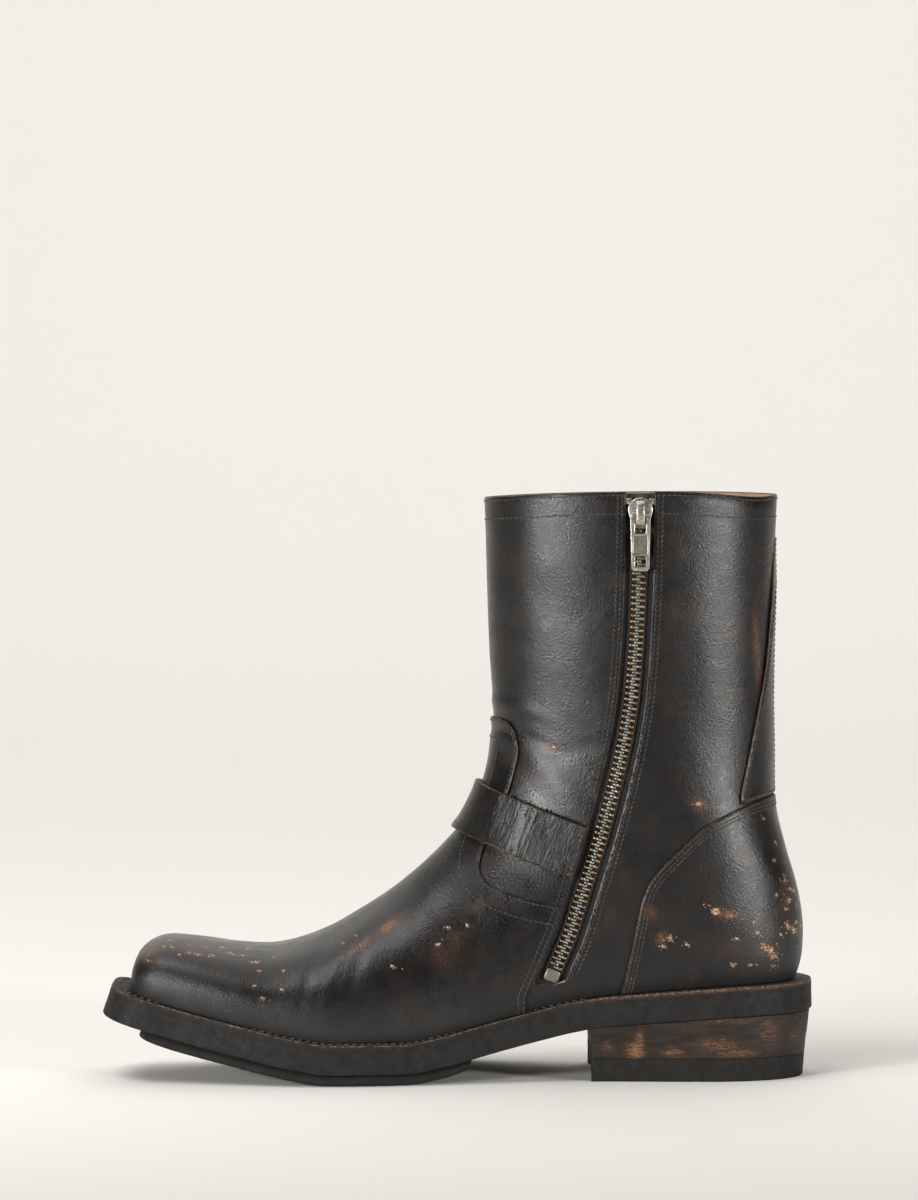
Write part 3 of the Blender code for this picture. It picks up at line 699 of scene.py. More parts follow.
class Finish:
    """A material built up from noise in object coordinates."""

    def __init__(self, name, roughness=0.5, metallic=0.0, **sockets):
        self.material = bpy.data.materials.new(name)
        self.material.use_nodes = True
        self.tree = self.material.node_tree
        self.shader = self.tree.nodes["Principled BSDF"]
        self.shader.inputs["Roughness"].default_value = roughness
        self.shader.inputs["Metallic"].default_value = metallic
        for socket, value in sockets.items():
            self.shader.inputs[socket.replace("_", " ")].default_value = value
        self.place = self.add("ShaderNodeTexCoord", {}).outputs["Object"]
        self.last_bump = None

    def add(self, kind, inputs, **settings):
        """Node with its settings, and its inputs by name or number."""
        made = self.tree.nodes.new(kind)
        for setting, value in settings.items():
            setattr(made, setting, value)
        for socket, value in inputs.items():
            self.feed(made.inputs[socket], value)
        return made

    def feed(self, socket, value):
        if isinstance(value, bpy.types.NodeSocket):
            self.tree.links.new(value, socket)
        elif socket.type == "RGBA":
            socket.default_value = (*value, 1.0)
        else:
            socket.default_value = value

    def stretched(self, stretch, lean=0.0):
        """Coordinates in which a feature is `stretch` times as long, along leaning axes."""
        turned = {"Vector": self.place, "Rotation": (0.0, -lean, 0.0), "Scale": stretch}
        return self.add("ShaderNodeMapping", turned, vector_type="TEXTURE").outputs["Vector"]

    def noise(self, size, detail=3.0, rough=0.55, stretch=None, shift=0.0, lean=0.0):
        place = self.stretched(stretch, lean) if stretch else self.place
        inputs = {"Vector": place, "W": shift, "Scale": 1 / (size * MM)}
        inputs.update(Detail=detail, Roughness=rough)
        return self.add("ShaderNodeTexNoise", inputs, noise_dimensions="4D").outputs["Fac"]

    def cells(self, size):
        inputs = {"Vector": self.place, "Scale": 1 / (size * MM)}
        return self.add("ShaderNodeTexVoronoi", inputs).outputs["Distance"]

    def attribute(self, name):
        return self.add("ShaderNodeAttribute", {}, attribute_name=name).outputs["Fac"]

    def calc(self, operation, one, two=0.0):
        return self.add("ShaderNodeMath", {0: one, 1: two}, operation=operation).outputs[0]

    def times(self, one, two):
        return self.calc("MULTIPLY", one, two)

    def plus(self, one, two, share=1.0):
        """`one` with a share of `two` added."""
        return self.calc("ADD", one, self.times(two, share))

    def grit(self, middle, *how, **more):
        """Noise around nought."""
        return self.calc("SUBTRACT", self.noise(*how, **more), middle)

    def spread(self, value, low, high, to_low=0.0, to_high=1.0):
        """Smooth step of a value from `low` to `high`."""
        inputs = dict(enumerate((value, low, high, to_low, to_high)))
        made = self.add("ShaderNodeMapRange", inputs, interpolation_type="SMOOTHSTEP")
        return made.outputs["Result"]

    def mix(self, share, one, two):
        """Colour from `one` to `two`, which are the node's inputs 6 and 7."""
        inputs = {"Factor": share, 6: one, 7: two}
        return self.add("ShaderNodeMix", inputs, data_type="RGBA").outputs[2]

    def colour(self, value):
        self.feed(self.shader.inputs["Base Color"], value)

    def roughness(self, value):
        self.feed(self.shader.inputs["Roughness"], value)

    def bump(self, height, depth):
        """Bump `depth` millimetres deep, on top of the bumps before it."""
        inputs = {"Height": height, "Distance": depth * MM}
        if self.last_bump:
            inputs["Normal"] = self.last_bump
        self.last_bump = self.add("ShaderNodeBump", inputs).outputs["Normal"]
        self.feed(self.shader.inputs["Normal"], self.last_bump)


# Colours of the leather: its finish, rubs, chips, edges and scratches, and the soles' edge
BLACK = (0.0042, 0.0040, 0.0043)
BROWN_BLACK = (0.0090, 0.0070, 0.0062)
TINTED = (0.024, 0.013, 0.0085)
RUB_SHADE = (0.050, 0.021, 0.010)
RUBBED = (0.20, 0.082, 0.034)
CHIPPED = (0.50, 0.29, 0.16)
EDGE_TAN = (0.12, 0.070, 0.041)
SCRATCHED = (0.13, 0.075, 0.048)
SOLE_EDGE_TAN = (0.22, 0.165, 0.125)


def leather_finish(name, black=BLACK, brown=BROWN_BLACK, grain=0.085, folded=False):
    """Dark waxed leather with brown rubs, pale chips and scratches, and a fine grain."""
    made = Finish(name, Specular_IOR_Level=0.40)
    times, plus, spread, noise = made.times, made.plus, made.spread, made.noise
    base = made.mix(spread(noise(26.0, 5.0, 0.6), 0.36, 0.66), black, brown)
    tint = spread(noise(9.0, 4.0, 0.65, shift=2.0), 0.54, 0.76, 0.0, 0.6)
    base = made.mix(tint, base, TINTED)
    grit = made.grit(0.5, 0.75, 4.0, 0.7, shift=4.0)
    rubbed = made.attribute("rub")
    base = made.mix(spread(rubbed, 0.0, 0.9, 0.0, 0.75), base, RUB_SHADE)
    grains = spread(plus(times(rubbed, 0.8), grit, 3.2), 0.45, 1.1)
    speckle = times(grains, spread(rubbed, 0.05, 0.45))
    base = made.mix(speckle, base, RUBBED)
    uneven = made.grit(0.55, 6.0, 3.0, 0.6, shift=11.0)
    edge = plus(plus(made.attribute("edge"), grit, 1.6), uneven, 1.6)
    base = made.mix(spread(edge, 0.55, 1.15, 0.0, 0.65), base, EDGE_TAN)
    scratch = noise(0.9, 3.0, 0.5, (1.0, 1.0, 7.0), 6.0)
    marked = spread(noise(13.0, 2.0, 0.5, shift=8.0), 0.5, 0.66, 0.0, 0.5)
    base = made.mix(times(spread(scratch, 0.69, 0.77), marked), base, SCRATCHED)
    flakes = spread(noise(0.6, 4.0, 0.7, shift=9.0), 0.50, 0.57)
    chipped = times(spread(made.attribute("chip"), 0.1, 0.9), flakes)
    bare = made.mix(spread(noise(1.2, 3.0, 0.6, shift=3.0), 0.38, 0.62), RUBBED, CHIPPED)
    made.colour(made.mix(chipped, base, bare))
    dull = spread(noise(7.0, 5.0, 0.6, shift=5.0), 0.3, 0.7, 0.25, 0.35)
    dull = plus(dull, made.attribute("low"), 0.6)
    made.roughness(plus(dull, plus(chipped, speckle, 0.5), 0.3))
    made.bump(plus(times(made.cells(0.95), -0.8), noise(0.7, 4.0, 0.7), 1.4), grain)
    made.bump(noise(4.0, 4.0, 0.6, shift=7.0), 0.10)
    made.bump(times(chipped, -1.0), 0.15)
    if folded:
        wave = made.grit(0.5, 1.0, 3.0, 0.5, (1.9, 60.0, 24.0), 1.5, STRAP_SLOPE)
        crease = spread(made.calc("ABSOLUTE", wave), 0.0, 0.09)
        made.bump(times(crease, made.attribute("fold")), 0.24)
    return made.material


def worn_finish(name, base, second, worn, size, stretch=None, roughness=(0.55, 0.75), depth=0.12):
    """Two dark tones, with a third where the piece is rubbed along edges and in patches."""
    made = Finish(name, Specular_IOR_Level=0.2)
    spread, noise = made.spread, made.noise
    tones = made.mix(spread(noise(size * 3, 5.0, 0.65, stretch), 0.38, 0.64), base, second)
    ragged = made.grit(0.5, size, 6.0, 0.72, stretch, 3.0)
    fine = made.grit(0.5, size * 0.45, 5.0, 0.75, stretch, 6.0)
    rubbed = made.attribute("rub")
    patchy = made.plus(made.plus(rubbed, ragged, 1.5), fine, 3.0)
    grains = made.times(spread(patchy, 0.42, 1.15, 0.0, 0.85), spread(rubbed, 0.05, 0.5))
    tones = made.mix(spread(rubbed, 0.0, 1.0, 0.0, 0.16), tones, worn)
    tones = made.mix(grains, tones, worn)
    edge = made.plus(made.attribute("edge"), fine, 2.4)
    made.colour(made.mix(spread(edge, 0.52, 1.05, 0.0, 0.85), tones, SOLE_EDGE_TAN))
    made.roughness(spread(noise(size, 4.0, 0.6, stretch, 5.0), 0.3, 0.7, *roughness))
    made.bump(noise(size * 0.6, 6.0, 0.7, stretch, 1.0), depth)
    made.bump(noise(size * 2.5, 4.0, 0.6, stretch, 2.0), depth)
    return made.material


def metal_finish(name, bright, dark, roughness=0.3, size=2.0):
    made = Finish(name, roughness, 1.0)
    made.colour(made.mix(made.spread(made.noise(size, 5.0, 0.7), 0.40, 0.62), bright, dark))
    stain = made.noise(size * 0.6, 4.0, 0.6, shift=2.0)
    made.roughness(made.spread(stain, 0.3, 0.7, roughness - 0.06, roughness + 0.2))
    made.bump(made.noise(0.6, 5.0, 0.7, shift=4.0), 0.05)
    return made.material


def tape_finish():
    made = Finish("zip_tape", 0.85, Sheen_Weight=0.15)
    ribs = {"Vector": made.place, "Scale": 420.0, "Distortion": 2.0}
    weave = made.add("ShaderNodeTexWave", ribs, wave_type="BANDS", bands_direction="Z")
    shade = made.spread(made.noise(2.0), 0.3, 0.7)
    made.colour(made.mix(shade, (0.006, 0.006, 0.006), (0.016, 0.015, 0.015)))
    made.bump(weave.outputs["Fac"], 0.12)
    made.bump(made.noise(0.5, 3.0, 0.6), 0.06)
    return made.material


def thread_finish():
    made = Finish("thread", 0.7, Sheen_Weight=0.2)
    shade = made.spread(made.noise(4.0, 4.0, 0.7), 0.47, 0.70)
    made.colour(made.mix(shade, (0.012, 0.010, 0.009), (0.075, 0.050, 0.034)))
    made.bump(made.noise(0.35, 3.0, 0.6), 0.05)
    return made.material


def cloth_finish(name, one, two, size, depth, roughness=0.75):
    made = Finish(name, roughness)
    made.colour(made.mix(made.spread(made.noise(size * 4, 5.0, 0.65), 0.35, 0.65), one, two))
    made.bump(made.noise(size, 5.0, 0.7, shift=2.0), depth)
    return made.material


LEATHER = leather_finish("leather")
STRAP_LEATHER = leather_finish(
    "strap_leather", (0.0065, 0.006, 0.006), (0.012, 0.0105, 0.0095), 0.08, True
)
CUT_EDGE = cloth_finish("cut_edge", (0.075, 0.045, 0.028), (0.20, 0.12, 0.07), 0.7, 0.08)
LINING = cloth_finish("lining", (0.40, 0.27, 0.17), (0.30, 0.195, 0.125), 1.0, 0.05)
SOLE_FINISH = worn_finish(
    "sole_edge", (0.0145, 0.013, 0.0125), (0.008, 0.0074, 0.0072), (0.17, 0.085, 0.045), 1.6
)
RUBBER = worn_finish(
    "rubber", (0.0085, 0.0082, 0.0082), (0.014, 0.0132, 0.0125), (0.05, 0.045, 0.04),
    1.5, None, (0.6, 0.8), 0.06,
)
HEEL_FINISH = worn_finish(
    "stacked_leather", (0.013, 0.0108, 0.0095), (0.026, 0.0185, 0.014), (0.215, 0.108, 0.052),
    0.8, (5.0, 5.0, 1.0), (0.45, 0.7), 0.10,
)
TAPE = tape_finish()
THREAD = thread_finish()
BRASS = metal_finish("zip_brass", (0.42, 0.285, 0.165), (0.16, 0.10, 0.06), 0.34, 1.2)
STEEL = metal_finish("zip_steel", (0.40, 0.39, 0.34), (0.14, 0.14, 0.125), 0.34)
NICKEL = metal_finish("nickel", (0.60, 0.56, 0.50), (0.36, 0.325, 0.28), 0.28, 0.9)
NICKEL_FACE = metal_finish("nickel_face", (0.27, 0.245, 0.21), (0.15, 0.135, 0.115), 0.42, 0.7)
HOLLOW = cloth_finish("hollow", (0.004, 0.004, 0.004), (0.007, 0.006, 0.006), 1.0, 0.02, 0.9)

# Where the leather is worn, in pixels of the photograph: x, y, size

TOE_FLECKS = (
    (170, 943, 3.2), (190, 955, 3.2), (202, 942, 3.4), (222, 950, 3.6), (219, 942, 3.0),
    (248, 952, 3.2), (184, 941, 3.0), (165, 949, 2.5), (173, 950, 3.4), (191, 948, 2.6),
    (211, 943, 5.0), (206, 950, 3.6), (198, 957, 3.6), (213, 958, 3.4), (231, 956, 4.4),
    (243, 958, 2.6), (255, 965, 4.0), (259, 973, 2.8), (284, 973, 3.0), (255, 987, 2.4),
    (283, 991, 2.6), (263, 999, 3.6), (237, 949, 2.2), (180, 957, 2.4), (274, 960, 2.2),
    (150, 962, 2.6), (345, 946, 2.0), (357, 938, 2.2), (449, 928, 3.0), (439, 945, 3.0),
    (393, 967, 3.0), (468, 926, 2.6),
)
HEEL_FLECKS = (
    (762, 819, 2.4), (775, 821, 2.6), (774, 843, 2.6), (773, 861, 2.8), (783, 881, 4.6),
    (788, 889, 4.0), (775, 895, 2.6), (791, 891, 5.0), (787, 901, 6.0), (784, 909, 4.0),
    (794, 905, 3.4), (787, 926, 6.6), (794, 922, 4.0), (792, 931, 6.0), (798, 926, 3.6),
    (764, 947, 6.4), (770, 951, 6.0), (773, 956, 4.6), (771, 956, 3.6), (733, 964, 4.0),
    (750, 964, 2.8), (772, 965, 2.4), (736, 938, 2.6), (756, 932, 4.4), (753, 922, 2.8),
    (717, 910, 5.4), (731, 916, 3.0), (670, 938, 5.0), (664, 946, 3.6), (687, 944, 3.2),
    (699, 804, 4.0), (554, 747, 2.6), (714, 912, 4.4), (779, 934, 2.4),
)
# Brown rubs: x, y, half width, half height, lean in degrees, strength
RUBS = (
    (388, 926, 18, 5, 38, 1.0), (362, 944, 22, 4, 35, 0.85), (554, 747, 12, 8, 0, 0.55),
    (542, 781, 6, 4, 0, 0.5), (757, 645, 5, 48, 4, 0.85), (700, 610, 10, 16, 0, 0.35),
    (675, 615, 8, 14, 0, 0.3), (699, 804, 10, 9, -30, 0.6), (729, 914, 14, 5, 0, 1.0),
    (662, 938, 9, 6, 50, 0.9), (650, 912, 8, 12, 30, 0.7), (730, 948, 18, 10, 0, 0.4),
    (150, 952, 14, 8, 20, 0.75), (200, 950, 40, 10, -6, 0.42), (455, 940, 12, 18, 20, 0.45),
    (440, 955, 14, 22, 20, 0.4), (480, 905, 14, 8, 30, 0.5), (610, 915, 8, 10, 0, 0.4),
    (770, 560, 4, 60, 0, 0.5), (785, 900, 12, 24, 0, 0.5), (765, 950, 14, 10, 0, 0.55),
    (520, 560, 12, 20, 0, 0.25), (735, 640, 10, 40, 0, 0.25), (745, 860, 12, 8, 0, 0.3),
)

whole = Form(0, len(SECTIONS) - 1, 176, 190)
skin = BVHTree.FromPolygons(whole.points.tolist(), whole.faces)


def seen_at(across, down):
    """Point of the leather that the photograph shows at a pixel, or None."""
    side = (across - PHOTO_CENTRE[0]) / FOCAL
    up = (PHOTO_CENTRE[1] - down) / FOCAL
    fall = (math.cos(CAMERA_FALL), math.sin(CAMERA_FALL))
    way = Vector((side, fall[0] + up * fall[1], up * fall[0] - fall[1]))
    return skin.ray_cast(Vector((0.0, -CAMERA_BACK, CAMERA_HEIGHT)), way)[0]


PIXEL = CAMERA_BACK / FOCAL
# A fleck's half size as a share of its mark, on the side in the picture and on the other
SEEN_FLECK, HIDDEN_FLECK = 0.62, 0.5
FLECK_DRIFT, RUB_DRIFT = (9, 8), (14, 10)
RUB_DEPTH = 22.0
EDGE_REACH = 0.9
LOW_REACH = 7.0


def other_side(place, reach):
    """The same place on the hidden side, moved a little at random."""
    drift = Vector((random.uniform(-reach[0], reach[0]), 0, random.uniform(-reach[1], reach[1])))
    return Vector((place.x, -place.y, place.z)) + drift


def wear_spots():
    """Flecks (place, size) and rubs (place, half sizes, lean, strength) on both sides."""
    flecks, rubs = [], []
    for across, down, size in TOE_FLECKS + HEEL_FLECKS:
        place = seen_at(across, down)
        if place:
            flecks.append((place, size * PIXEL * SEEN_FLECK))
            for _ in range(2):
                flecks.append((other_side(place, FLECK_DRIFT), size * PIXEL * HIDDEN_FLECK))
    for across, down, wide, high, lean, strength in RUBS:
        place = seen_at(across, down)
        if place:
            shape = (wide * PIXEL, high * PIXEL, math.radians(lean), strength)
            rubs += [(place, *shape), (other_side(place, RUB_DRIFT), *shape)]
    return flecks, rubs


FLECK_SPOTS, RUB_SPOTS = wear_spots()


def write_values(mesh, name, values):
    """Stores a number for each of a mesh's points."""
    layer = mesh.attributes.new(name, "FLOAT", "POINT")
    layer.data.foreach_set("value", values.astype(np.float32))


def paint(piece, fields=(), extra_rub=None):
    """Writes how worn each point is: flecks, rubs and the distance from an edge."""
    mesh = piece.data
    points = np.zeros(len(mesh.vertices) * 3)
    mesh.vertices.foreach_get("co", points)
    points = points.reshape(-1, 3) / MM
    chip, rub = np.zeros(len(points)), np.zeros(len(points))
    for place, size in FLECK_SPOTS:
        gap = np.sqrt(
            (points[:, 0] - place.x) ** 2
            + (points[:, 2] - place.z) ** 2
            + 0.35 * (points[:, 1] - place.y) ** 2
        )
        chip = np.maximum(chip, 1.15 - gap / max(size * 1.5, 1.7))
    for place, wide, high, lean, strength in RUB_SPOTS:
        x, z = points[:, 0] - place.x, points[:, 2] - place.z
        along = (x * math.cos(lean) + z * math.sin(lean)) / wide
        over = (z * math.cos(lean) - x * math.sin(lean)) / high
        depth = (points[:, 1] - place.y) / RUB_DEPTH
        rub = np.maximum(rub, strength * np.exp(-(along**2) - over**2 - depth**2))
    if extra_rub is not None:
        rub = np.maximum(rub, extra_rub(points))
    edge = np.zeros(len(points))
    for field in fields:
        edge = np.maximum(edge, np.exp(-np.maximum(field(points), 0.0) / EDGE_REACH))
    low = np.exp(-np.maximum(points[:, 2] - feather(points[:, 0]), 0.0) / LOW_REACH)
    values = {"chip": np.clip(chip, 0, 1), "rub": rub, "edge": edge, "low": low}
    for name, worn in values.items():
        write_values(mesh, name, worn)


# Many small things from one shape


def rounded_shape(power, segments=8, rings=5):
    """Unit ellipsoid whose corners get squarer as the power falls below 1."""
    def bend(value):
        return math.copysign(abs(value) ** power, value)

    points = [(0.0, 0.0, -1.0)]
    for ring in range(1, rings):
        up = -math.pi / 2 + math.pi * ring / rings
        for k in range(segments):
            turn = 2 * math.pi * (k + 0.5) / segments
            flat = bend(math.cos(up))
            x, y = flat * bend(math.cos(turn)), flat * bend(math.sin(turn))
            points.append((x, y, bend(math.sin(up))))
    points.append((0.0, 0.0, 1.0))
    faces = []
    for k in range(segments):
        after = (k + 1) % segments
        faces.append((0, 1 + after, 1 + k))
        for ring in range(rings - 2):
            low = 1 + ring * segments
            faces.append((low + k, low + after, low + segments + after, low + segments + k))
        top = 1 + (rings - 2) * segments
        faces.append((top + k, top + after, len(points) - 1))
    return np.array(points), faces


def scattered(name, shape, frames, finish, replaced=(), body="boot"):
    """One mesh of a shape at many frames: centre and three half axes, in millimetres."""
    points, faces = shape
    places, joined = [], []
    for centre, *axes in frames:
        start = len(places) * len(points)
        places.append(np.array(centre) + points @ np.array(axes))
        joined += [tuple(start + corner for corner in face) for face in faces]
    mesh = bpy.data.meshes.new(name)
    mesh.from_pydata((np.vstack(places) * MM).tolist(), [], joined)
    return dressed(name, mesh, [finish], replaced, body)


def level_lines(bm, field, level):
    """Lines on a mesh where the field has a level: lists of (point, normal)."""
    bm.verts.index_update()
    values = field(np.array([vert.co for vert in bm.verts])) - level
    links, places = {}, {}
    for face in bm.faces:
        crossed = []
        for edge in face.edges:
            one, two = edge.verts
            a, b = values[one.index], values[two.index]
            if (a < 0) != (b < 0):
                t = a / (a - b)
                key = (min(one.index, two.index), max(one.index, two.index))
                places[key] = (one.co.lerp(two.co, t), one.normal.lerp(two.normal, t).normalized())
                crossed.append(key)
        if len(crossed) == 2:
            links.setdefault(crossed[0], []).append(crossed[1])
            links.setdefault(crossed[1], []).append(crossed[0])
    lines, used = [], set()
    starts = [key for key, near in links.items() if len(near) == 1] + list(links)
    for start in starts:
        if start in used:
            continue
        line, key = [], start
        while key is not None:
            used.add(key)
            line.append(places[key])
            key = next((near for near in links[key] if near not in used), None)
        lines.append(line)
    return lines


def stitch_frames(lines, pitch=2.3, length=0.62, thick=0.36, lean=0.0, rise=0.05, start=0.0):
    """Frames for stitches along lines, each leaning by `lean` degrees from its line."""
    frames = []
    for line in lines:
        points = np.array([point for point, _ in line])
        normals = np.array([normal for _, normal in line])
        if len(points) < 3:
            continue
        walked = walk(points)
        for k in range(int((walked[-1] - start) / pitch)):
            at = start + (k + 0.5) * pitch
            place = Vector(at_length(at, walked, points))
            ahead = Vector(at_length(at + 0.4, walked, points))
            normal = Vector(at_length(at, walked, normals)).normalized()
            run = ahead - place
            if run.length < 1e-4:
                continue
            run = (run - normal * run.dot(normal)).normalized()
            side = normal.cross(run)
            turn = math.radians(lean + random.uniform(-4, 4))
            along = run * math.cos(turn) + side * math.sin(turn)
            over = normal.cross(along)
            half = pitch * length * random.uniform(0.9, 1.05) * 0.5 + 0.25
            frames.append((place + normal * rise, over * thick, normal * thick * 0.85, along * half))
    return frames


STITCH = rounded_shape(0.75, 6, 5)
BLOCK = rounded_shape(0.38, 12, 8)
TOOTH = rounded_shape(0.45, 8, 6)

# Leather pieces


def overlay(name, skin_form, fields, worn_edge, **how):
    """Leather panel laid over the upper, and the surface that its stitches lie on."""
    sides = [LEATHER, CUT_EDGE]
    thickness = OVERLAY - OVERLAY_SLACK
    made, surface = panel(name, skin_form, OVERLAY, fields, sides, thickness, [name], "leather", **how)
    paint(made, [worn_edge])
    return surface


upper_fields = [above_feather, below_collar, beside_slot]
upper_piece, upper_surface = panel(
    "upper", whole, 0.0, upper_fields, [LEATHER, CUT_EDGE], 1.2, ["upper"], "leather"
)
paint(upper_piece, [below_collar, beside_slot])

inner_form = Form(0, len(SECTIONS) - 1, 100, 120)


def below_lining(points):
    return below_collar(points) - 0.5


def beside_lining(points):
    return beside_slot(points) - 0.6


panel(
    "upper_lining", inner_form, -1.3, [above_feather, below_lining, beside_lining],
    [LINING, LINING], 0.9, (), "lining", False,
)


def on_tape(points):
    beside = TAPE_HALF - np.abs(from_zip(points))
    return np.minimum(np.minimum(beside, points[:, 2] - SLOT_FOOT + 1.0), -points[:, 1])


tape_form = Form(8, len(SECTIONS) - 1, 90, 150)
panel(
    "zip_tape", tape_form, -WALL - GAP, [on_tape, below_lining, above_feather],
    [TAPE, TAPE], TAPE_THICK, ["zip_tape"], "zip_tape", False,
)

fine_front = Form(0, 16, 205, 245)
vamp_line = smooth_line(VAMP_EDGE)


def ahead_of_slot(space):
    """Field that is positive ahead of the zip's slot and `space` away from it."""
    def field(points):
        ahead = -from_zip(points) - SLOT_HALF - space
        return np.where(points[:, 1] < 0, ahead, FAR)

    return field


by_vamp_end, by_strap_end = ahead_of_slot(0.6), ahead_of_slot(0.8)
in_vamp = inside([(-190.0, 155.9), *vamp_line, (60.0, 60.0), (60.0, -20.0), (-190.0, -20.0)])
vamp_surface = overlay("vamp", fine_front, [above_feather, in_vamp, by_vamp_end], in_vamp)

fine_back = Form(10, 24, 180, 220)
in_counter = inside([(190.0, 127.0), *smooth_line(COUNTER_EDGE), (190.0, 22.0)])
counter_surface = overlay("heel_counter", fine_back, [above_feather, in_counter], in_counter)

stay_foot = [(121.8, 119.4), (132.4, 122.6), (170.0, 126.6), (170.0, 236.0)]
in_stay = inside([*smooth_line(STAY_EDGE), *stay_foot])


def stay_tip(points):
    """Skives the back stay down to the upper at its tip."""
    return -(OVERLAY - 0.25) * soft_step(points[:, 2], 205.0, 236.0)


stay_surface = overlay("back_stay", fine_back, [in_stay], in_stay, rise=stay_tip)

# Strap


def strap_point(along, across):
    x = STRAP_FRONT[0] + along * math.cos(STRAP_SLOPE) - across * math.sin(STRAP_SLOPE)
    z = STRAP_FRONT[1] + along * math.sin(STRAP_SLOPE) + across * math.cos(STRAP_SLOPE)
    return x, z


STRAP_FOLDS = [13.0]
while STRAP_FOLDS[-1] < 56.0:
    STRAP_FOLDS.append(STRAP_FOLDS[-1] + random.uniform(2.6, 4.4))


def strap_place(points):
    x, z = points[:, 0] - STRAP_FRONT[0] + 3.0, points[:, 2] - STRAP_FRONT[1]
    along = x * math.cos(STRAP_SLOPE) + z * math.sin(STRAP_SLOPE)
    return along, z * math.cos(STRAP_SLOPE) - x * math.sin(STRAP_SLOPE)


def fold_strength(points):
    along = strap_place(points)[0]
    strength = soft_step(along, 11.0, 22.0) * (1 - soft_step(along, 52.0, 60.0))
    return strength * np.where(points[:, 1] < 5, 1.0, 0.25)


def strap_wrinkles(points):
    """Little folds across the strap, on its inner side."""
    along, across = strap_place(points)
    strength = fold_strength(points)
    rise = np.zeros(len(points))
    for k in np.flatnonzero((np.abs(across) < 16) & (strength > 0.01)):
        a, c = along[k] + 0.05 * across[k], across[k]
        bend = 1.3 * noise.noise(Vector((a / 9.0, c / 7.0, 4.1)))
        depth = 0.0
        for number, place in enumerate(STRAP_FOLDS):
            reach = (a + bend - place) / 0.95
            if abs(reach) < 3:
                share = 0.65 + 0.9 * noise.noise(Vector((number * 3.7, c / 9.0, 2.0)))
                depth += max(share, 0.0) * math.exp(-reach * reach)
        rise[k] = -0.22 * strength[k] * depth
    return rise


strap_form = Form(7, 18, 230, 340)
strap_shoulder = STRAP_TIP - STRAP_POINT
strap_half_line = [(-60.0, STRAP_HALF), (strap_shoulder, STRAP_HALF), (STRAP_TIP, 3.0)]
strap_line = strap_half_line + [(along, -across) for along, across in strap_half_line[::-1]]
in_strap = inside([strap_point(along, across) for along, across in strap_line])
strap_piece, strap_surface = panel(
    "strap", strap_form, STRAP_OUT + STRAP_THICK, [in_strap, by_strap_end],
    [STRAP_LEATHER, CUT_EDGE], STRAP_THICK, ["strap"], "leather", rise=strap_wrinkles,
)
paint(strap_piece, [in_strap])
strap_points = np.array([vert.co for vert in strap_piece.data.vertices]) / MM
write_values(strap_piece.data, "fold", fold_strength(strap_points))

# Stitches


def higher_than(lines, low, widest=FAR):
    """Parts of the lines above a height, and not further out than `widest`."""
    kept = []
    for line in lines:
        part = [spot for spot in line if spot[0].z > low and spot[0].y < widest]
        if len(part) > 4:
            kept.append(part)
    return kept


def row(surface, field, level, **how):
    return stitch_frames(level_lines(surface, field, level), **how)


def sew(name, frames):
    scattered(name, STITCH, frames, THREAD)


sew("collar_stitches", (
    row(upper_surface, below_collar, 1.6) + row(upper_surface, below_collar, 9.6, pitch=2.7)
))
bands = []
for side in (-1, 1):
    for level, lean, start in ((1.7, 24, 0.0), (3.6, -24, 1.1)):
        lines = level_lines(upper_surface, lambda spots: side * from_zip(spots), SLOT_HALF + level)
        lines = higher_than(lines, 44.0, 0.0)
        bands += stitch_frames(lines, 2.1, lean=lean * side, rise=0.02, start=start)
sew("zip_stitches", bands)
vamp_rows = row(vamp_surface, in_vamp, 1.1, pitch=2.1) + row(vamp_surface, in_vamp, 8.4, pitch=2.3)
for level in (1.2, 3.4):
    vamp_rows += row(vamp_surface, by_vamp_end, level, pitch=2.2, lean=20)
sew("vamp_stitches", vamp_rows)
counter_rows = []
for number, level in enumerate((1.0, 2.5, 4.0)):
    counter_rows += row(counter_surface, in_counter, level, pitch=2.1, start=number * 0.7)
sew("counter_stitches", counter_rows)
stay_rows = row(stay_surface, in_stay, 1.2, pitch=2.2)


def from_seam(points):
    return np.where(points[:, 0] > 110, np.abs(points[:, 1]), FAR)


stay_rows += row(stay_surface, from_seam, 1.4, pitch=2.3)
stay_rows += stitch_frames(higher_than(level_lines(upper_surface, from_seam, 1.4), 232.0), 2.3)
sew("back_stitches", stay_rows)
strap_rows = []
for level, lean in ((1.3, 20), (3.6, -20)):
    strap_rows += row(strap_surface, by_strap_end, level, pitch=2.1, lean=lean)
sew("strap_stitches", strap_rows)

# Flecks where the finish has flaked off

OUTER_SKINS = [BVHTree.FromBMesh(each) for each in (upper_surface, vamp_surface, counter_surface)]


def seat(place, way):
    """Point and normal on the outermost leather, looking back along `way`."""
    found = [tree.ray_cast(place + way * 8.0, -way, 16.0) for tree in OUTER_SKINS]
    found = [hit for hit in found if hit[0] is not None]
    if not found:
        return None, None
    best = min(found, key=lambda hit: hit[3])
    normal = best[1] if best[1].dot(way) > 0 else -best[1]
    return best[0], normal


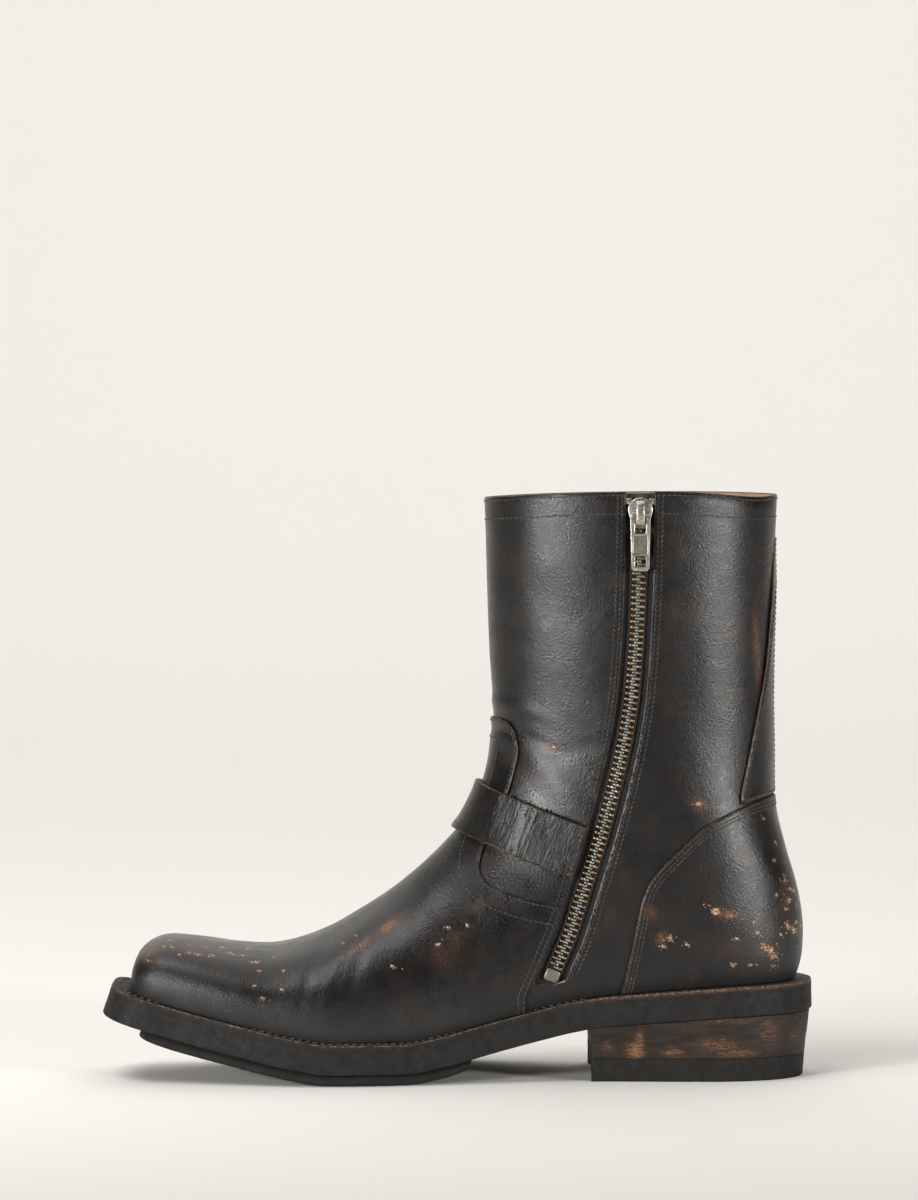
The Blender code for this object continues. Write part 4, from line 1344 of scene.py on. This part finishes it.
def fleck_frames():
    frames = []
    for place, size in FLECK_SPOTS:
        way = skin.find_nearest(place)[1]
        if way.y * place.y < 0:
            way = -way
        run = way.cross(Vector((0.3, 0.2, 1.0))).normalized()
        lean = random.uniform(-0.6, 0.6)
        side = way.cross(run)
        run, side = (
            run * math.cos(lean) + side * math.sin(lean),
            side * math.cos(lean) - run * math.sin(lean),
        )
        for _ in range(9 + int(size * 12)):
            stray = 3.2 if random.random() < 0.22 else 1.0
            along, over = random.gauss(0, 0.62) * size * stray, random.gauss(0, 0.34) * size * stray
            point, normal = seat(place + run * along + side * over, way)
            if point is None:
                continue
            turn = random.uniform(0, math.pi)
            flat = (run - normal * run.dot(normal)).normalized()
            across = normal.cross(flat)
            one = flat * math.cos(turn) + across * math.sin(turn)
            two = normal.cross(one)
            big = random.uniform(0.05, 0.24) * min(size, 1.8) ** 0.6
            frames.append((point, one * big * random.uniform(1.2, 2.6), two * big, normal * 0.05))
    return frames


FLAKE = cloth_finish("flaked", (0.62, 0.40, 0.24), (0.28, 0.13, 0.06), 0.7, 0.05, 0.8)
scattered("flecks", rounded_shape(0.9, 7, 4), fleck_frames(), FLAKE)

# Sole pieces

stations = outline_stations()


def sole_wear(points):
    """Brown rubs along the top edge of the sole behind the arch."""
    x, z = points[:, 0], points[:, 2]
    near_top = np.exp(-(((z - feather(x) + 0.8) / 1.1) ** 2))
    return near_top * (0.25 + 0.45 * soft_step(x, 40.0, 75.0))


def near_welt_top(points):
    x = points[:, 0]
    return np.abs(feather(x) - points[:, 2] - 0.4) * 1.2 + 0.25


welt = plate(band_profile(0.0, 0.0, WELT, 0.7, 0.06), stations)
welt_piece = add_piece("welt", welt, [SOLE_FINISH], ["welt"])
paint(welt_piece, [near_welt_top], sole_wear)
midsole_foot = WELT + GAP + MIDSOLE
midsole = plate(band_profile(0.04, WELT + 0.02, midsole_foot, 0.06, 0.6), stations)
midsole_piece = add_piece("midsole", midsole, [SOLE_FINISH], ["midsole"])
paint(midsole_piece, [], sole_wear)


def welt_stitches():
    frames = []
    rows = sole_points(2.6, outline_stations(0.8, 60))
    for column in (1, 2):
        line = []
        for entry in rows:
            x, z = below_feather(entry[0], 0.0)
            if x < BREAST_X:
                line.append((Vector((x, entry[column], z)), Vector((0, 0, 1))))
        frames += stitch_frames([line], 3.4, 0.7, 0.42, rise=0.1)
    return frames


sew("welt_stitches", welt_stitches())


def outsole_plate():
    """Rubber half sole with a chamfered rear end."""
    top = WELT + MIDSOLE + 2 * GAP
    foot = top + OUTSOLE
    front, rear = TOE_X + OUTSOLE_START, 2.0
    profile = [(0.0, top), (0.0, foot - 0.7), (0.25, foot - 0.2), (0.8, foot)]
    count, last = 150, 8
    shrink = OUTSOLE_INSET + 0.02
    rings = []
    for k in range(count + 1):
        x = front + (rear - front) * (1 - math.cos(math.pi / 2 * k / count))
        into = min(max((front + TOE_ZONE - x) / TOE_ZONE, 0.0), 1.0)
        fade = max((1 - into**TOE_SQUARE) ** (1 / TOE_SQUARE), 0.02)
        chamfer = 0.9 * max(0, k - count + last) / last
        inners, outers = [], []
        for inset, depth in profile:
            inner = steady(SOLE_EDGE, x, 1) + shrink + inset
            outer = steady(SOLE_EDGE, x, 2) - shrink - inset
            middle, half = (inner + outer) / 2, (outer - inner) / 2 * fade
            low_x, low_z = below_feather(x, depth)
            low_x -= chamfer * max(0.0, depth - top - 1.2)
            inners.append((low_x, middle - half, low_z))
            outers.append((low_x, middle + half, low_z))
        rings.append(inners + outers[::-1])
    return capped_loft(rings)


outsole_piece = add_piece("outsole", outsole_plate(), [RUBBER], ["outsole"])
paint(outsole_piece)


def heel_outline(inset, spacing=1.4, bow=3.0, steps=30):
    """Closed outline of the heel seen from above: inner side, back, outer side, breast."""
    rows = [row for row in sole_points(inset, outline_stations(spacing, 40)) if row[0] > BREAST_X]
    inner, outer = steady(SOLE_EDGE, BREAST_X, 1) + inset, steady(SOLE_EDGE, BREAST_X, 2) - inset
    rows = [(BREAST_X, inner, outer)] + rows
    outline = [(x, near) for x, near, _ in rows] + [(x, far) for x, _, far in rows[-2::-1]]
    for k in range(1, steps):
        t = k / steps
        outline.append((BREAST_X + 4 * bow * t * (1 - t), outer + (inner - outer) * t))
    return outline


def heel_solid(levels, top_from=None, rough=0.1, layers=0.0):
    """Loft of heel outlines at (height, inset). The last height may follow the sole."""
    rings = []
    for number, (height, inset) in enumerate(levels):
        ring = []
        for x, y in heel_outline(inset):
            z = height
            if top_from is not None:
                share = (height - levels[0][0]) / (levels[-1][0] - levels[0][0])
                z = levels[0][0] + share * (below_feather(x, top_from)[1] - levels[0][0])
            groove = layers * math.cos(2 * math.pi * z / 3.6) ** 8
            shove = rough * edge_noise(Vector((x, y, z * 2)), 6.0, 4) - groove
            away = Vector((x - 105.0, y * 1.3, 0)).normalized()
            ring.append((x + away.x * shove, y + away.y * shove, z))
        rings.append(ring)
    return capped_loft(rings)


block_levels = [(TOP_LIFT + 0.05 + k * 0.7, 2.9 - 2.3 * k / 34) for k in range(35)]
heel = heel_solid(block_levels, WELT + MIDSOLE + 2 * GAP + 0.02, 0.16, 0.10)
heel_piece = add_piece("heel_block", heel, [HEEL_FINISH], ["heel_block"])

# Brown rubs of the heel: x, z, half width, half height, strength
HEEL_RUBS = (
    (76.0, 13.5, 5.0, 5.0, 0.95), (78.0, 18.0, 2.5, 7.0, 0.7), (64.0, 15.0, 4.0, 4.0, 0.5),
    (92.0, 13.0, 7.0, 3.0, 0.65), (112.0, 16.0, 14.0, 5.0, 0.62), (134.0, 22.0, 8.0, 9.0, 0.55),
    (118.0, 27.0, 22.0, 3.0, 0.5), (120.0, 12.5, 12.0, 3.0, 0.65), (146.0, 18.0, 5.0, 9.0, 0.45),
    (98.0, 24.0, 14.0, 4.0, 0.35), (60.0, 24.0, 3.0, 8.0, 0.3),
)


def heel_wear(points):
    rub = np.zeros(len(points))
    for x, z, wide, high, strength in HEEL_RUBS:
        along, over = (points[:, 0] - x) / wide, (points[:, 2] - z) / high
        rub = np.maximum(rub, strength * np.exp(-(along**2) - over**2))
    return rub


paint(heel_piece, [], heel_wear)
lift_levels = [(0.0, 3.9), (0.25, 3.6), (1.0, 3.5), (3.0, 3.35), (5.0, 3.2)]
lift_levels += [(7.0, 3.05), (9.4, 2.95), (9.8, 3.0), (TOP_LIFT, 3.2)]
lift = heel_solid(lift_levels, None, 0.08)
lift_piece = add_piece("top_lift", lift, [RUBBER], ["top_lift"])
paint(lift_piece)

# Zip


def leather_hit(x, z, side):
    """Point and outward normal of the last on its inner (-1) or outer (1) side."""
    place, normal = skin.ray_cast(Vector((x, side * 200.0, z)), Vector((0, -side, 0)))[:2]
    return place, normal if normal.y * side > 0 else -normal


def zip_places(z_from, z_to, step, depth):
    """Frames up the zip: centre, across, out and up, at even steps along its line."""
    line = [leather_hit(float(zip_middle(z)), z, -1) for z in np.arange(z_from, z_to, 0.25)]
    points = np.array([place for place, _ in line])
    normals = np.array([normal for _, normal in line])
    kernel = np.ones(9) / 9
    columns = [np.pad(normals[:, c], 4, "edge") for c in range(3)]
    normals = np.column_stack([np.convolve(column, kernel, "valid") for column in columns])
    walked = walk(points)
    frames = []
    for at in np.arange(0.0, walked[-1], step):
        place = Vector(at_length(at, walked, points))
        ahead = Vector(at_length(at + 1.0, walked, points))
        behind = Vector(at_length(at - 1.0, walked, points))
        normal = Vector(at_length(at, walked, normals)).normalized()
        up = (ahead - behind).normalized()
        out = (normal - up * normal.dot(up)).normalized()
        frames.append((place - out * depth, up.cross(out) * -1, out, up))
    return frames


def beside_zip(frame, offset, halves):
    """Frame of a block beside the zip's line, with half sizes across, out and up."""
    place, *axes = frame
    return (place + axes[0] * offset, *(axis * half for axis, half in zip(axes, halves)))


# Half sizes across, out and up of the zip's small parts
TOOTH_PITCH = 2.59
TOOTH_HALVES, HEAD_HALVES = (1.1, 0.72, 0.56), (1.15, 0.58, 0.50)
BEAD_HALVES = (0.42, 0.42, 0.62)
STOP_HALVES, TOP_STOP_HALVES = (3.3, 0.85, 2.75), (1.25, 0.8, 1.35)
stop_foot = SLOT_FOOT + 0.8
stop_top = stop_foot + STOP_LENGTH
teeth, heads = [], []
for number, spot in enumerate(zip_places(stop_top + 0.8, 246.0, TOOTH_PITCH / 2, 1.45)):
    side = 1 if number % 2 else -1
    teeth.append(beside_zip(spot, side * 1.95, TOOTH_HALVES))
    heads.append(beside_zip(spot, side * 0.25, HEAD_HALVES))
scattered("zip_teeth", TOOTH, teeth, BRASS, ["zip_chain"])
scattered("zip_tooth_heads", TOOTH, heads, STEEL)
bead_places = zip_places(stop_top - 1.0, 254.0, 0.9, 1.9)
beads = [beside_zip(spot, side * 3.35, BEAD_HALVES) for spot in bead_places for side in (-1, 1)]
scattered("zip_bead", STITCH, beads, TAPE)
middle_spot = zip_places(stop_foot + STOP_LENGTH / 2, 60.0, 50.0, 1.4)[0]
stop = [beside_zip(middle_spot, 0.0, STOP_HALVES)]
scattered("zip_bottom_stop", BLOCK, stop, NICKEL_FACE, ["zip_bottom_stop"])
top_spot = zip_places(250.6, 262.0, 50.0, 1.5)[0]
stops = [beside_zip(top_spot, side * 4.9, TOP_STOP_HALVES) for side in (-1, 1)]
scattered("zip_top_stops", BLOCK, stops, NICKEL)


def curve_mesh(curve, lines, closed):
    """Mesh in millimetres of a curve that runs through lines of points."""
    for line in lines:
        spline = curve.splines.new("POLY")
        spline.points.add(len(line) - 1)
        for spot, point in zip(spline.points, line):
            spot.co = (*(Vector(point).to_3d() * MM), 1.0)
        spline.use_cyclic_u = closed
    holder = bpy.data.objects.new("holder", curve)
    mesh = bpy.data.meshes.new_from_object(holder)
    bpy.data.objects.remove(holder)
    bpy.data.curves.remove(curve)
    bm = bmesh.new()
    bm.from_mesh(mesh)
    bpy.data.meshes.remove(mesh)
    bmesh.ops.scale(bm, vec=(1 / MM,) * 3, verts=bm.verts)
    return bm


def flat_part(outlines, thickness, bevel):
    """Mesh of a flat part with bevelled edges, from an outline and its holes."""
    curve = bpy.data.curves.new("flat", "CURVE")
    curve.dimensions = "2D"
    curve.fill_mode = "BOTH"
    curve.extrude = (thickness / 2 - bevel) * MM
    curve.bevel_depth = bevel * MM
    curve.bevel_resolution = 2
    curve.offset = -bevel * MM
    bm = curve_mesh(curve, outlines, True)
    bmesh.ops.remove_doubles(bm, verts=bm.verts, dist=0.001)
    return bm


def rounded_box(x_from, x_to, z_from, z_to, corner):
    outline = []
    for cx, cz, first in (
        (x_to - corner, z_to - corner, 0), (x_from + corner, z_to - corner, 90),
        (x_from + corner, z_from + corner, 180), (x_to - corner, z_from + corner, 270),
    ):
        for k in range(5):
            turn = math.radians(first + 22.5 * k)
            outline.append((cx + corner * math.cos(turn), cz + corner * math.sin(turn)))
    return outline


def stand_up(bm, at):
    """Turns a flat part to face the inner side, with its middle at a place."""
    for vert in bm.verts:
        x, z, out = vert.co
        vert.co = Vector((at.x + x, at.y - out, at.z + z))
    return bm


def joined(parts):
    made = bmesh.new()
    for part in parts:
        mesh = bpy.data.meshes.new("part")
        part.to_mesh(mesh)
        part.free()
        made.from_mesh(mesh)
        bpy.data.meshes.remove(mesh)
    bmesh.ops.recalc_face_normals(made, faces=made.faces)
    return made


low_corner, high_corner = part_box("zip_pull")
pull_middle = (low_corner + high_corner) / 2 / MM
pivot = Vector((pull_middle.x, pull_middle.y, high_corner.z / MM - PULL_THICK / 2))
foot = -PULL_LENGTH
body_line = [(-PULL_HALF, -1.0), (-3.9, 0.6), (3.9, 0.6), (PULL_HALF, -1.0)]
body_line += [(3.8, foot + 1.2), (3.0, foot), (-3.0, foot), (-3.8, foot + 1.2)]
eye = rounded_box(-2.35, 2.35, -8.6, -0.9, 1.1)
window = rounded_box(-2.3, 2.3, foot + 1.7, foot + 6.4, 0.5)
face_hole = rounded_box(-3.0, 3.0, foot + 7.3, -9.6, 0.5)
plate_part = stand_up(flat_part([body_line, eye, window], 0.9, 0.2), pivot)
for face in plate_part.faces:
    face.material_index = 1
rim_part = stand_up(flat_part([body_line, eye, window, face_hole], PULL_THICK, 0.25), pivot)
pull_mesh = joined([plate_part, rim_part])
metals = [NICKEL, NICKEL_FACE]
pull_piece = add_piece("zip_pull", pull_mesh, metals, ["zip_pull"], "pull")
pull_piece.data.set_sharp_from_angle(angle=math.radians(30))

slider_low, slider_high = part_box("zip_slider")
slider_at = Vector((
    (slider_low.x + slider_high.x) / 2 / MM, slider_high.y / MM - 1.0, SLIDER_Z + 0.1,
))
dome = [(-3.7, -6.3), (3.7, -6.3), (4.4, -2.5), (5.3, 0.5)]
dome += [(5.4 * math.cos(t), 1.4 + 5.2 * math.sin(t)) for t in (math.pi * k / 16 for k in range(17))]
dome += [(-5.3, 0.5), (-4.4, -2.5)]
slider_body = stand_up(flat_part([dome], 1.9, 0.5), slider_at)
bail_line = [(5.6, 0.4), (5.3, 2.6), (4.0, 4.4), (1.6, 5.0)]
bail_line += [(-2.0, 5.0), (-4.4, 4.4), (-5.6, 2.6), (-5.8, 0.4)]
bail_in = [(up * 0.8, out - 1.0) for up, out in bail_line]
bail_outline = smooth_line(bail_line, 3) + smooth_line(bail_in, 3)[::-1]
bail = flat_part([bail_outline], 3.4, 0.35)
bail_foot = Vector((slider_at.x, slider_high.y / MM - 0.6, SLIDER_Z))
for vert in bail.verts:
    up, out, side = vert.co
    vert.co = Vector((bail_foot.x + side, bail_foot.y - out, bail_foot.z + up))
slider_piece = add_piece("zip_slider", joined([slider_body, bail]), [NICKEL], ["zip_slider"])
slider_piece.data.set_sharp_from_angle(angle=math.radians(40))

# Buckle, on the outer side


def on_outer_side(along, across, out):
    place, normal = leather_hit(*strap_point(along, across), 1)
    return place + normal * out


def wire(name, points, radius, closed):
    curve = bpy.data.curves.new(name, "CURVE")
    curve.dimensions = "3D"
    curve.bevel_depth = radius * MM
    curve.bevel_resolution = 5
    curve.use_fill_caps = not closed
    add_piece(name, curve_mesh(curve, [points], closed), [NICKEL], [name])


strap_top = STRAP_OUT + STRAP_THICK
wire_out = strap_top + GAP + BUCKLE_WIRE
frame_line = rounded_box(
    -BUCKLE_HALF_LENGTH, BUCKLE_HALF_LENGTH, -BUCKLE_HALF_WIDTH, BUCKLE_HALF_WIDTH, BUCKLE_CORNER
)
frame_points = [on_outer_side(BUCKLE_AT + along, across, wire_out) for along, across in frame_line]
wire("buckle_frame", frame_points, BUCKLE_WIRE, True)
over = wire_out + BUCKLE_WIRE + GAP + PRONG_WIRE
rest = strap_top + GAP + PRONG_WIRE
prong_line = smooth_line([(4.0, rest), (-2.0, rest + 0.8), (-7.5, over), (-12.5, over)], 5)
prong = [on_outer_side(BUCKLE_AT + along, 0.0, out) for along, out in prong_line]
wire("buckle_prong", prong, PRONG_WIRE, False)
holes = []
for along in (66.0, 76.0, 86.0):
    place = on_outer_side(along, 0.0, strap_top + 0.1)
    out = (on_outer_side(along, 0.0, 5.0) - on_outer_side(along, 0.0, 0.0)).normalized()
    run = (on_outer_side(along + 1, 0.0, 0.0) - on_outer_side(along - 1, 0.0, 0.0)).normalized()
    side = out.cross(run).normalized()
    holes.append((place, run * 1.3, side * 1.3, out * 0.25))
scattered("strap_holes", rounded_shape(1.0, 16, 6), holes, HOLLOW)

for slot in frame["nodes"]["insole"].material_slots:
    slot.material = LINING

# Floor, light and camera


def area_light(name, at, aim, size, power, colour=(1.0, 0.99, 0.97)):
    lamp = bpy.data.lights.new(name, "AREA")
    lamp.shape = "RECTANGLE"
    lamp.size, lamp.size_y = size
    lamp.energy = power
    lamp.color = colour
    made = placed(name, lamp)
    made.location = at
    made.rotation_euler = (Vector(aim) - Vector(at)).to_track_quat("-Z", "Y").to_euler()


def backdrop():
    """Floor that curves up into a wall behind the boot."""
    half, front, back, bend, top = 9.0, -6.0, 5.0, 2.5, 9.0
    line = [(front, 0.0), (back - bend, 0.0)]
    for k in range(1, 13):
        turn = math.pi / 2 * k / 12
        line.append((back - bend + bend * math.sin(turn), bend - bend * math.cos(turn)))
    line.append((back, top))
    points = [(x, y, z) for y, z in line for x in (-half, half)]
    faces = [(2 * k, 2 * k + 1, 2 * k + 3, 2 * k + 2) for k in range(len(line) - 1)]
    mesh = bpy.data.meshes.new("backdrop")
    mesh.from_pydata(points, [], faces)
    mesh.shade_smooth()
    made = placed("backdrop", mesh)
    finish = Finish("backdrop", 0.9, Specular_IOR_Level=0.1)
    # Painted shade: the floor is coloured darker towards the camera. This evens out the lamps' light
    # on the floor in front of the boot and darkens what the leather reflects.
    split = finish.add("ShaderNodeSeparateXYZ", {0: finish.place})
    near = finish.spread(split.outputs["Y"], -0.75, 0.10)
    pale = finish.mix(finish.noise(400.0), (0.86, 0.842, 0.808), (0.862, 0.844, 0.81))
    finish.colour(finish.mix(near, (0.50, 0.49, 0.47), pale))
    mesh.materials.append(finish.material)


backdrop()
world = bpy.data.worlds.new("studio")
bpy.context.scene.world = world
world.use_nodes = True
background = world.node_tree.nodes["Background"]
background.inputs["Color"].default_value = (1.0, 0.99, 0.97, 1)
background.inputs["Strength"].default_value = 0.06
area_light("left_box", (-1.48, -1.62, 0.37), (0.0, 0.0, 0.14), (0.46, 0.66), 47.0)
area_light("right_box", (1.9, -1.4, 0.37), (0.08, 0.0, 0.14), (0.40, 0.66), 38.0)
area_light("key_box", (-0.75, -0.62, 1.95), (-0.05, -0.05, 0.05), (1.1, 0.7), 20.0)
area_light("top_box", (0.0, 3.2, 3.8), (0.0, 3.2, 0.0), (7.0, 4.5), 128.0)
area_light("wall_wash", (0.0, 0.5, 5.5), (0.0, 5.0, 2.0), (7.0, 1.5), 93.0)
bpy.context.scene.view_settings.view_transform = "Standard"

camera = placed("camera", bpy.data.cameras.new("camera"))
camera.location = (0.0, -CAMERA_BACK * MM, CAMERA_HEIGHT * MM)
camera.rotation_euler = (math.pi / 2 - CAMERA_FALL, 0, 0)
camera.data.lens = FOCAL * SENSOR / PHOTO_HEIGHT
camera.data.sensor_width = SENSOR
camera.data.clip_start = 0.1
bpy.context.scene.camera = camera
